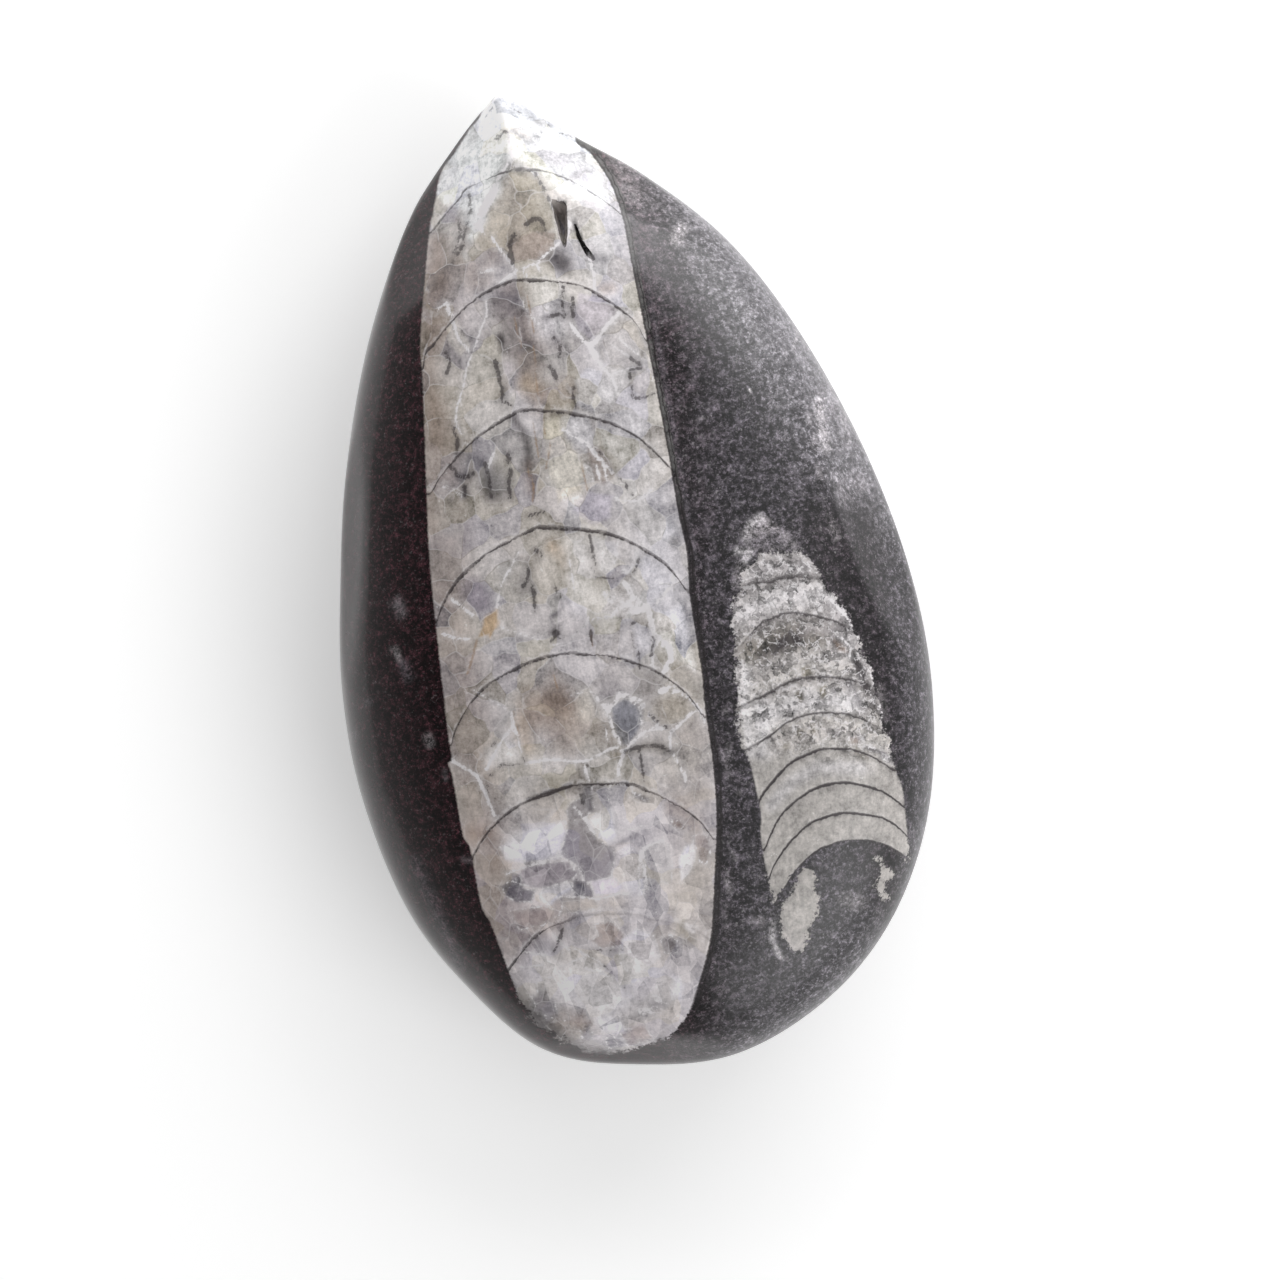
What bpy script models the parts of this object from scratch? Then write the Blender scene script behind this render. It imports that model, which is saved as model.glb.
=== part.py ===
"""A polished limestone pebble cut through two straight-shelled fossils, lying on its back.

Metres, +Z up. The origin is the middle of the flat it rests on, +Y runs to the pointed
tip and +Z leaves the polished face that shows the fossils.
"""

import math

import bmesh
import bpy
import numpy as np
from mathutils import Vector
from mathutils.bvhtree import BVHTree

MM = 0.001

# Driving dimensions.
LENGTH = 106.0 * MM  # tip to foot
WIDTH = 62.9 * MM  # across the widest part
FACE_RISE = 15.5 * MM  # widest line up to the crown of the polished face
BACK_DROP = 14.0 * MM  # widest line down to the crown of the back, before the flat is ground
REST_DROP = 11.5 * MM  # widest line down to the flat it rests on
TIP_THINNING = 0.35  # share of the thickness lost between the widest part and the tip
FACE_FULLNESS = 2.7  # superellipse power of the face's section: 2 is an ellipse, more is flatter
BACK_FULLNESS = 2.3

# Plan outline in mm, from the tip clockwise round the foot and back to the tip. It is then
# stretched to LENGTH and WIDTH.
TIP = (-2.9, 53.0)
RIGHT_SIDE = (
    (0.4, 51.1), (4.8, 47.0), (11.2, 41.6), (18.4, 33.4), (23.9, 23.0),
    (28.5, 9.3), (31.0, -4.5), (31.1, -17.5), (28.3, -30.6), (22.5, -41.1), (14.1, -48.5),
)
FOOT = ((3.0, -52.7), (-8.5, -51.7), (-17.6, -48.1))
LEFT_SIDE = (
    (-24.3, -39.8), (-28.9, -30.5), (-31.3, -18.0), (-31.2, -6.5), (-29.2, 4.8),
    (-26.2, 16.8), (-21.2, 29.9), (-14.6, 41.6), (-8.0, 48.8),
)
HEART = (TIP[0], -6.0)  # every outline point is seen from here, and the tip lies straight ahead

# Ground facets: azimuth of the facet's outward normal from +X, its lean from +Z, both in
# degrees, and the distance in mm from the heart to the facet's plane.
FACETS = {
    "tip_left": (134.0, 46.0, 31.7),
    "tip_right": (53.0, 43.0, 33.8),
    "right_flank": (9.6, 52.0, 28.8),
    "left_flank": (166.0, 64.0, 26.8),
    "foot": (258.0, 61.7, 41.2),
    "rest": (0.0, 180.0, REST_DROP / MM),
}
ARRIS = 0.016  # how softly facets meet their neighbours, as a share of the heart's distance

# Grid of the body: cells across, along and through. Across is even, so a row meets the tip.
CELLS = (26, 42, 12)

# The vug in the upper chamber: its mouth's corners and a broken seam beside it, in mm.
VUG_MOUTH = ((0.9, 41.1), (2.4, 40.8), (2.4, 36.6), (1.2, 36.6))
VUG_DEPTH = 3.2 * MM
VUG_FLOOR = 0.35  # size of the floor against the mouth
SEAM_MOUTH = ((2.6, 38.9), (3.1, 38.7), (4.3, 34.6), (3.8, 34.4))
SEAM_DEPTH = 1.2 * MM
SEAM_FLOOR = 0.5
CUTTER_CLEARANCE = 1.5 * MM  # how far a cutter stands above the face


def smooth_points(points, steps=12):
    """Catmull-Rom curve through the points, open at both ends."""
    padded = [points[0], *points, points[-1]]
    curve = []
    for a, b, c, d in zip(padded, padded[1:], padded[2:], padded[3:]):
        a, b, c, d = (np.array(p) for p in (a, b, c, d))
        for t in np.arange(steps) / steps:
            bend = (2 * a - 5 * b + 4 * c - d) * t * t
            curve.append((2 * b + (c - a) * t + bend + (3 * b - a - 3 * c + d) * t**3) / 2)
    curve.append(np.array(points[-1]))
    return np.array(curve) * MM


def outline_reach(bearing):
    """Distance from the heart to the plan outline at each bearing, in metres."""
    outline = smooth_points([TIP, *RIGHT_SIDE, *FOOT, *LEFT_SIDE, TIP]) - np.array(HEART) * MM
    outline *= np.array([WIDTH, LENGTH]) / np.ptp(outline, axis=0)
    clockwise = -np.unwrap(np.arctan2(outline[:, 1], outline[:, 0]))
    turned = np.mod(math.pi / 2 - bearing, 2 * math.pi)
    return np.interp(turned, clockwise - clockwise[0], np.hypot(*outline.T))


def section(direction, fullness, rise):
    """Share of the outline's reach, and height, of a superellipse section."""
    level = np.hypot(direction[:, 0], direction[:, 1])
    upright = np.abs(direction[:, 2])
    return level ** (2 / fullness), rise * upright ** (2 / fullness)


def smooth_min(a, b, width):
    """The smaller of two values, rounded where they are within width of each other."""
    mix = np.clip(0.5 + 0.5 * (b - a) / width, 0, 1)
    return b * (1 - mix) + a * mix - width * mix * (1 - mix)


def facet_normal(azimuth, lean):
    azimuth, lean = math.radians(azimuth), math.radians(lean)
    level = math.sin(lean)
    return np.array([level * math.cos(azimuth), level * math.sin(azimuth), math.cos(lean)])


def stone_surface(direction):
    """The ground body's surface point in each unit direction, measured from the heart."""
    bearing = np.arctan2(direction[:, 1] * LENGTH, direction[:, 0] * WIDTH)
    face = section(direction, FACE_FULLNESS, FACE_RISE)
    back = section(direction, BACK_FULLNESS, -BACK_DROP)
    share, height = np.where(direction[:, 2] >= 0, face, back)
    reach = share * outline_reach(bearing)
    ahead = np.clip(reach * np.sin(bearing) / (MM * (TIP[1] - HEART[1])), 0, 1)
    height = height * (1 - TIP_THINNING * ahead**2)
    body = np.column_stack([reach * np.cos(bearing), reach * np.sin(bearing), height])
    ground = np.ones(len(body))
    for azimuth, lean, distance in FACETS.values():
        along = body @ facet_normal(azimuth, lean)
        cut = np.where(along > 0, distance * MM / np.maximum(along, 1e-9), 9.0)
        ground = smooth_min(ground, cut, ARRIS)
    return body * ground[:, None] + np.array([*HEART, 0]) * [MM, MM, 1]


def grid_ball(cells):
    """A box grid as (unit directions, quads): even cells, and no poles on the face."""
    points, quads, index = [], [], {}

    def corner(place):
        if place not in index:
            index[place] = len(points)
            box = [2 * n / count - 1 for n, count in zip(place, cells)]
            points.append([math.tan(side * math.pi / 4) for side in box])
        return index[place]

    for axis in range(3):
        u, v = (axis + 1) % 3, (axis + 2) % 3
        for end in (0, cells[axis]):
            for i in range(cells[u]):
                for j in range(cells[v]):
                    ring = [(i, j), (i + 1, j), (i + 1, j + 1), (i, j + 1)]
                    if end == 0:
                        ring.reverse()
                    place = [0, 0, 0]
                    place[axis] = end
                    quad = []
                    for place[u], place[v] in ring:
                        quad.append(corner(tuple(place)))
                    quads.append(quad)
    points = np.array(points)
    return points / np.linalg.norm(points, axis=1)[:, None], quads


def add_object(name, points, faces):
    mesh = bpy.data.meshes.new(name)
    mesh.from_pydata([tuple(p) for p in points], [], faces)
    mesh.update()
    obj = bpy.data.objects.new(name, mesh)
    bpy.context.collection.objects.link(obj)
    return obj


def add_stone():
    direction, quads = grid_ball(CELLS)
    points = stone_surface(direction)
    low, high = points.min(0), points.max(0)
    points -= [(low[0] + high[0]) / 2, (low[1] + high[1]) / 2, low[2]]
    stone = add_object("orthoceras_fossil", points, quads)
    stone.data.shade_smooth()
    stone.data.set_sharp_from_angle(angle=math.radians(32))
    return stone


def cut_pit(stone, name, mouth, depth, floor_share):
    """Cuts a tapering pit, with this mouth and depth, down into the polished face."""
    tree = BVHTree.FromObject(stone, bpy.context.evaluated_depsgraph_get())
    middle = Vector(np.mean(mouth, axis=0)) * MM
    above = Vector((*middle, LENGTH))
    face_z = tree.ray_cast(above, Vector((0, 0, -1)))[0].z
    rim = [Vector(p) * MM for p in mouth]
    flare = 1 + (1 - floor_share) * CUTTER_CLEARANCE / depth
    levels = ((flare, face_z + CUTTER_CLEARANCE), (floor_share, face_z - depth))
    points = [(*(middle + (p - middle) * size), z) for size, z in levels for p in rim]
    count = len(rim)
    sides = [(i, (i + 1) % count, (i + 1) % count + count, i + count) for i in range(count)]
    ends = [tuple(range(count)), tuple(range(count, 2 * count))]
    cutter = add_object(name, points, ends + sides)
    faces = bmesh.new()
    faces.from_mesh(cutter.data)
    bmesh.ops.recalc_face_normals(faces, faces=faces.faces)
    faces.to_mesh(cutter.data)
    faces.free()
    cutter.hide_render = True
    cutter.display_type = "WIRE"
    cut = stone.modifiers.new(name, "BOOLEAN")
    cut.object = cutter
    cut.operation = "DIFFERENCE"
    cut.solver = "EXACT"


def polished_limestone():
    material = bpy.data.materials.new("polished_limestone")
    material.use_nodes = True
    shader = material.node_tree.nodes["Principled BSDF"]
    shader.inputs["Base Color"].default_value = (0.022, 0.019, 0.020, 1)
    shader.inputs["Roughness"].default_value = 0.22
    shader.inputs["Metallic"].default_value = 0.0
    return material


def main():
    for obj in list(bpy.data.objects):
        bpy.data.objects.remove(obj)
    stone = add_stone()
    stone.data.materials.append(polished_limestone())
    cut_pit(stone, "vug_cutter", VUG_MOUTH, VUG_DEPTH, VUG_FLOOR)
    cut_pit(stone, "seam_cutter", SEAM_MOUTH, SEAM_DEPTH, SEAM_FLOOR)


main()
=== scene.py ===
import math

import bmesh
import bpy
import numpy as np
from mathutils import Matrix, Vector
from mathutils.bvhtree import BVHTree


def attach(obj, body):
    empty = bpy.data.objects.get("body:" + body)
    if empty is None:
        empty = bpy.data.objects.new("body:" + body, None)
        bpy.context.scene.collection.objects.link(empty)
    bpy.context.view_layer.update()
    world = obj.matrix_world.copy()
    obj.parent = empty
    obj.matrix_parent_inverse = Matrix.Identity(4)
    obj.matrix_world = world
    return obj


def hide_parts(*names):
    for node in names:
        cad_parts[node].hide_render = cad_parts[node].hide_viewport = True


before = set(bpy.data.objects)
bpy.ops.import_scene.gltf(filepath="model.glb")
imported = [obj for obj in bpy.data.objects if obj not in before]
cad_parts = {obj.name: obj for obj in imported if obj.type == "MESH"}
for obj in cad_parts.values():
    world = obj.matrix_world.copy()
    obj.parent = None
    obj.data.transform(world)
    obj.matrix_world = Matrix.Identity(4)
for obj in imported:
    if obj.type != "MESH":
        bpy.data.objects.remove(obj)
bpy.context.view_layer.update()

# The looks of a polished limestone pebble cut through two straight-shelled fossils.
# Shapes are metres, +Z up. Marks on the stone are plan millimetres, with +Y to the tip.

MM = 0.001

# ---------------------------------------------------------------- the ground body

LENGTH, WIDTH = 106.0 * MM, 62.9 * MM
FACE_RISE, BACK_DROP, REST_DROP = 15.5 * MM, 14.0 * MM, 11.5 * MM
TIP_THINNING = 0.35
FACE_FULLNESS, BACK_FULLNESS = 2.7, 2.3
TIP = (-2.9, 53.0)
RIGHT_SIDE = (
    (0.4, 51.1), (4.8, 47.0), (11.2, 41.6), (18.4, 33.4), (23.9, 23.0),
    (28.5, 9.3), (31.0, -4.5), (31.1, -17.5), (28.3, -30.6), (22.5, -41.1), (14.1, -48.5),
)
FOOT = ((3.0, -52.7), (-8.5, -51.7), (-17.6, -48.1))
LEFT_SIDE = (
    (-24.3, -39.8), (-28.9, -30.5), (-31.3, -18.0), (-31.2, -6.5), (-29.2, 4.8),
    (-26.2, 16.8), (-21.2, 29.9), (-14.6, 41.6), (-8.0, 48.8),
)
HEART = (TIP[0], -6.0)

# Ground facets: azimuth of the outward normal, its lean from +Z, distance from the heart in mm.
FACETS = {
    "tip_left": (134.0, 46.0, 31.7),
    "tip_right": (53.0, 43.0, 33.8),
    "right_flank": (9.6, 52.0, 28.8),
    "left_flank": (166.0, 64.0, 26.8),
    "foot": (258.0, 61.7, 41.2),
    "rest": (0.0, 180.0, REST_DROP / MM),
}
ARRIS = 0.010
NO_CUT = 9.0  # stands for a facet on the far side
CELLS = (92, 150, 18)  # box grid across, along and through; its upper part is twice as fine

ROLL = math.radians(11)
LENS, SENSOR, FRAME_WIDTH = 135, 36, 137.6 * MM  # the frame's width at the widest line
EYE = np.array((1.29, -7.29))  # the camera stands over this place, in mm
EYE_HEIGHT = FRAME_WIDTH * LENS / SENSOR / MM

VUG_MOUTH = (
    (0.9, 39.8), (1.7, 40.0), (2.4, 39.5), (2.2, 38.0), (2.0, 36.8), (1.6, 35.5), (1.3, 35.6), (1.1, 37.3),
)
VUG_DEPTH = 3.0 * MM
SEAM_MOUTH = ((2.6, 37.6), (3.0, 37.4), (3.4, 35.2), (4.2, 33.5), (3.7, 33.3), (3.0, 35.0))
SEAM_DEPTH = 1.1 * MM
PIT_HEADROOM = 1.0 * MM  # how far a pit's cutter stands above the face
PIT_FLARE = 1.25  # its width there, against its mouth's


def smooth_points(points, steps=12):
    """Catmull-Rom curve through the points, open at both ends."""
    padded = [points[0], *points, points[-1]]
    curve = []
    for a, b, c, d in zip(padded, padded[1:], padded[2:], padded[3:]):
        a, b, c, d = (np.array(p) for p in (a, b, c, d))
        for t in np.arange(steps) / steps:
            bend = (2 * a - 5 * b + 4 * c - d) * t * t
            curve.append((2 * b + (c - a) * t + bend + (3 * b - a - 3 * c + d) * t**3) / 2)
    curve.append(np.array(points[-1]))
    return np.array(curve)


def outline_reach(bearing):
    outline = smooth_points([TIP, *RIGHT_SIDE, *FOOT, *LEFT_SIDE, TIP]) - np.array(HEART)
    outline *= np.array([WIDTH, LENGTH]) / np.ptp(outline, axis=0)
    clockwise = -np.unwrap(np.arctan2(outline[:, 1], outline[:, 0]))
    turned = np.mod(math.pi / 2 - bearing, 2 * math.pi)
    return np.interp(turned, clockwise - clockwise[0], np.hypot(*outline.T))


def section(direction, fullness, rise):
    level = np.hypot(direction[:, 0], direction[:, 1])
    upright = np.abs(direction[:, 2])
    return level ** (2 / fullness), rise * upright ** (2 / fullness)


def smooth_min(a, b, width):
    mix = np.clip(0.5 + 0.5 * (b - a) / width, 0, 1)
    return b * (1 - mix) + a * mix - width * mix * (1 - mix)


def facet_normal(azimuth, lean):
    azimuth, lean = math.radians(azimuth), math.radians(lean)
    level = math.sin(lean)
    return np.array([level * math.cos(azimuth), level * math.sin(azimuth), math.cos(lean)])


def stone_surface(direction):
    """The ground body's surface point in each unit direction, measured from the heart."""
    bearing = np.arctan2(direction[:, 1] * LENGTH, direction[:, 0] * WIDTH)
    face = section(direction, FACE_FULLNESS, FACE_RISE)
    back = section(direction, BACK_FULLNESS, -BACK_DROP)
    share, height = np.where(direction[:, 2] >= 0, face, back)
    reach = share * outline_reach(bearing)
    ahead = np.clip(reach * np.sin(bearing) / (MM * (TIP[1] - HEART[1])), 0, 1)
    height = height * (1 - TIP_THINNING * ahead**2)
    body = np.column_stack([reach * np.cos(bearing), reach * np.sin(bearing), height])
    ground = np.ones(len(body))
    for azimuth, lean, distance in FACETS.values():
        along = body @ facet_normal(azimuth, lean)
        cut = np.where(along > 0, distance * MM / np.maximum(along, 1e-9), NO_CUT)
        ground = smooth_min(ground, cut, ARRIS)
    return body * ground[:, None] + np.array([*HEART, 0]) * [MM, MM, 1]


def box_ball():
    """A box grid on a cube, twice as fine over the polished side."""
    ball = bmesh.new()
    bmesh.ops.create_cube(ball, size=2)
    for axis, count in enumerate(CELLS):
        run = [e for e in ball.edges if abs(e.verts[0].co[axis] - e.verts[1].co[axis]) > 1]
        bmesh.ops.subdivide_edges(ball, edges=run, cuts=count - 1, use_grid_fill=True)
    upper = [e for e in ball.edges if min(v.co.z for v in e.verts) > -0.2]
    bmesh.ops.subdivide_edges(ball, edges=upper, cuts=1, use_grid_fill=True)
    return ball


def add_object(name, mesh):
    obj = bpy.data.objects.new(name, mesh)
    bpy.context.collection.objects.link(obj)
    return obj


def ground_body():
    ball = box_ball()
    points = np.tan(np.array([v.co for v in ball.verts]) * math.pi / 4)
    surface = stone_surface(points / np.linalg.norm(points, axis=1)[:, None])
    low, high = surface.min(0), surface.max(0)
    surface -= [(low[0] + high[0]) / 2, (low[1] + high[1]) / 2, low[2]]
    for vert, place in zip(ball.verts, surface):
        vert.co = place
    mesh = bpy.data.meshes.new("orthoceras_pebble")
    ball.to_mesh(mesh)
    ball.free()
    return add_object("orthoceras_pebble", mesh)


def cut_pit(stone, name, mouth, depth, floor_share, rings=5):
    """Cuts a rough tapering pit down into the polished face."""
    tree = BVHTree.FromObject(stone, bpy.context.evaluated_depsgraph_get())
    middle = Vector(np.mean(mouth, axis=0)) * MM
    face_z = tree.ray_cast(Vector((*middle, LENGTH)), Vector((0, 0, -1)))[0].z
    rim = smooth_points([*mouth, mouth[0]], 3)[:-1] * MM
    count = len(rim)
    rough = np.random.default_rng(7)
    pit = bmesh.new()
    levels = []
    for ring in range(rings + 1):
        sunk = ring / rings
        size = PIT_FLARE + (floor_share - PIT_FLARE) * sunk**1.4
        jitter = 1 + rough.normal(0, 0.10, count) * min(sunk * 2, 1)
        z = face_z + PIT_HEADROOM - (depth + PIT_HEADROOM) * sunk
        places = [Vector((*(middle + (Vector(p) - middle) * size * j), z)) for p, j in zip(rim, jitter)]
        levels.append([pit.verts.new(p) for p in places])
    for upper, lower in zip(levels, levels[1:]):
        for i in range(count):
            pit.faces.new((upper[i - 1], upper[i], lower[i], lower[i - 1]))
    pit.faces.new(levels[0])
    pit.faces.new(levels[-1])
    bmesh.ops.recalc_face_normals(pit, faces=pit.faces)
    mesh = bpy.data.meshes.new(name)
    pit.to_mesh(mesh)
    pit.free()
    cutter = add_object(name, mesh)
    cut = stone.modifiers.new(name, "BOOLEAN")
    cut.object = cutter
    cut.operation = "DIFFERENCE"
    cut.solver = "EXACT"
    return cutter


def make_plain(obj):
    """Bakes the modifiers in, so the piece is a plain mesh."""
    mesh = bpy.data.meshes.new_from_object(obj.evaluated_get(bpy.context.evaluated_depsgraph_get()))
    obj.modifiers.clear()
    obj.data = mesh


# ---------------------------------------------------------------- the shells, in plan mm

BIG_LEFT = (
    (-3.6, 55), (-4.6, 51.6), (-6.3, 50), (-8.2, 48), (-9.7, 46.6), (-10.4, 45.6), (-11.8, 42), (-12.6, 40),
    (-14.9, 32), (-15.9, 28), (-16.4, 24), (-18.3, 12), (-19.2, 6), (-19.8, 0), (-20.8, -12), (-21, -15.8),
    (-21.5, -16.4), (-21.3, -18), (-21.4, -24), (-20.9, -26), (-20.9, -32), (-20.3, -34), (-19.6, -38),
    (-18.9, -42), (-18.4, -44), (-17, -46), (-15.2, -48), (-12.4, -49.7), (-9.8, -50.4),
)
BIG_RIGHT = (
    (8.5, 56), (6, 49.5), (4.8, 46.7), (6, 45.3), (7.2, 42.7), (7.8, 40.7), (8.2, 37.3), (8.2, 34),
    (8.2, 14), (8, 6), (8.1, 2), (8, 0), (7.5, -4), (7.2, -12), (6.8, -16), (6.5, -22), (5.7, -28),
    (4.3, -34), (2.6, -40.4), (-0.2, -46), (-1.3, -47.7), (-2.6, -48.9), (-4.5, -49.7), (-7.2, -50.3),
)
BIG_SEPTA = (
    ((-12.3, 40), (-11, 41.2), (-8.6, 43.1), (-8, 43.8), (-6, 44.3), (-4, 44.8), (-1.8, 44.9),
     (-0.8, 44.6), (0.7, 44.2), (3.7, 42.4), (7, 39.3), (8, 38)),
    ((-16, 25.9), (-15.4, 27.5), (-14.4, 28.2), (-12.3, 30), (-10, 31.6), (-7.7, 32.6), (-5.8, 33.1),
     (-4, 33.2), (0, 32.2), (1.9, 31.5), (3.8, 30.2), (7.1, 26.7), (8, 24.2)),
    ((-17.7, 12.5), (-16.2, 14.2), (-12.3, 17.1), (-7.7, 19.1), (-5.8, 19.3), (-4, 18.8), (-2.1, 18.3),
     (2.1, 16.5), (3.8, 15.3), (5.2, 14.2), (7.5, 11.1), (8.3, 9.6)),
    ((-19.7, -1.1), (-18.9, 0.3), (-16.7, 2.8), (-13, 5), (-9.7, 6), (-7.4, 6.7), (-6.2, 6.5),
     (-2.7, 5.6), (1, 4.1), (5.3, 0.5), (7.3, -3.2)),
    ((-20.7, -14.5), (-20.1, -13.1), (-17.9, -10.5), (-15.2, -8.7), (-10.5, -7.3), (-6.8, -7.2),
     (-5.2, -7.6), (-1.9, -8.5), (1.6, -10.4), (3.5, -12), (5.3, -14.2), (6.4, -16.8)),
    ((-21, -27), (-19.5, -25.2), (-18, -23.9), (-15.2, -22.4), (-11.7, -21.6), (-8.4, -21.3),
     (-5.5, -21.7), (-2.7, -22.3), (-1.4, -23.1), (1.6, -25.3), (3.7, -27.4), (5, -30)),
    ((-19.6, -39.6), (-15.6, -36.3), (-12.1, -35.4), (-10.9, -35.1), (-7.6, -35.5), (-4.3, -36.3),
     (-3.5, -36.9), (-1, -37.8), (1.5, -39.2), (3, -41)),
)

SMALL_LEFT = (
    (17.2, -0.8), (15.6, -1), (14.3, -1.7), (13.2, -3), (12.3, -4.6), (11.8, -6), (11.1, -10), (10.6, -14),
    (10, -18), (9.9, -20), (10.4, -23), (10.5, -28), (10.1, -30), (9.9, -33), (10, -38),
)
SMALL_RIGHT = (
    (17.2, -0.8), (19.2, -1), (20.4, -1.7), (21.7, -4), (22.1, -6), (23.6, -8), (24, -10), (24.3, -12),
    (25.1, -16), (25.3, -22), (25.6, -26), (25.9, -28), (25.8, -30), (25.4, -34), (24.9, -36.1),
)
SMALL_SEPTA = (
    ((11.5, -4.9), (12.9, -4), (14.4, -3.6), (16, -3.9), (17.6, -3.7), (21, -4.3), (23, -5.2)),
    ((11, -10.5), (14.1, -8.2), (15.2, -7.7), (17.9, -7.5), (21.5, -8.9), (24, -10.4)),
    ((11, -16.3), (11.8, -16), (13.9, -15.6), (15.8, -14.9), (17.5, -14.7), (19.8, -15), (22.3, -15.7),
     (25, -17)),
    ((10.5, -21), (13.1, -20), (15.2, -19), (17.5, -18.6), (20, -18.9), (22.7, -19.9), (25.3, -22)),
    ((10.4, -27), (11.1, -26.1), (13.1, -24.4), (14.8, -23.3), (16.2, -22.9), (17.5, -22.6),
     (18.7, -22.6), (21.4, -23.2), (23.7, -24.6), (25.4, -26.3)),
    ((10.2, -32), (11.4, -30.1), (13.1, -28.3), (16.6, -26.6), (19.5, -26.5), (21, -26.9), (23.7, -28.2),
     (25.8, -30.4)),
    ((9.9, -35.3), (11, -33.6), (13.1, -31.6), (15.6, -30.1), (18.5, -29.7), (20, -29.9), (22.7, -30.8),
     (24.1, -31.7), (25, -32.8), (25.6, -33.8)),
    ((10, -38), (13.1, -34.8), (15.6, -33.2), (17.1, -32.9), (18.7, -32.7), (21.8, -33.3), (24.3, -35),
     (25.2, -36.1)),
)
BODY_CALCITE = (  # spar in the black body chamber of the small shell
    ((13.4, -34.7), (14.8, -35.1), (15, -36.1), (14.6, -38.3), (13.9, -40.4), (13, -41.9), (12.1, -43.5),
     (11, -43.1), (10.3, -41.5), (10.2, -39.7), (11.2, -37.9), (12.6, -36.5)),
    ((21.7, -35.1), (22.3, -35.4), (22.8, -36.5), (23.2, -37.4), (22.3, -37.8), (22.1, -39),
     (22.5, -39.9), (21.7, -39.5), (21.4, -38.6), (20.5, -38.1), (20.9, -37.7), (21.7, -37.5),
     (21.9, -36.5)),
)
BIG_CHAMBER, SMALL_CHAMBER = 13.0, 4.0  # usual chamber lengths
END_REACH = 12  # how far the count runs on past the first and last septum, in mm


# ---------------------------------------------------------------- palette and marks

def tone(*levels):
    """Albedo of a colour named by its lit display levels, 0 to 255."""
    light = 1.06  # how bright a white surface is under these lamps
    return np.array([min(((v / 255 + 0.055) / 1.055) ** 2.4 / light, 0.86) for v in levels])


PALETTE = {
    "black": tone(34, 28, 30),
    "ink": tone(62, 56, 58),
    "slate": tone(98, 94, 100),
    "grey": tone(126, 121, 125),
    "mid": tone(148, 143, 145),
    "violet": tone(150, 142, 147),
    "lilac": tone(192, 185, 192),
    "olive": tone(124, 117, 104),
    "brown": tone(130, 113, 102),
    "rust": tone(158, 130, 104),
    "star": tone(186, 160, 130),
    "tan": tone(160, 144, 132),
    "ochre": tone(174, 150, 124),
    "pink": tone(158, 146, 141),
    "beige": tone(173, 164, 155),
    "sand": tone(183, 178, 174),
    "frost": tone(177, 172, 172),
    "calcite": tone(190, 184, 182),
    "cream": tone(206, 199, 190),
    "pale": tone(208, 204, 206),
    "white": tone(232, 228, 230),
    "bright": tone(250, 246, 248),
    "bluish": tone(122, 122, 131),
}
BRIGHTEST_SPAR = (0.88, 0.87, 0.87)

# Where the tip's ground facets cut clean white spar, painted brighter still as a highlight on the facets.
TIP_SPAR_AND_HIGHLIGHT = (
    (-2.3, 46.4), (-3.4, 44.9), (-4.4, 43.5), (-6.0, 41.5), (-7.9, 39.4), (-8.7, 40.2), (-9.6, 41.4),
    (-11.2, 44), (-9.7, 46.8), (-6.3, 50.5), (-3, 55), (5, 48), (7.4, 43), (7.9, 40.2), (6.6, 39.3),
    (4.8, 40.2), (2.8, 41.1), (0, 44.2), (-1.2, 45.4),
)

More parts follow.
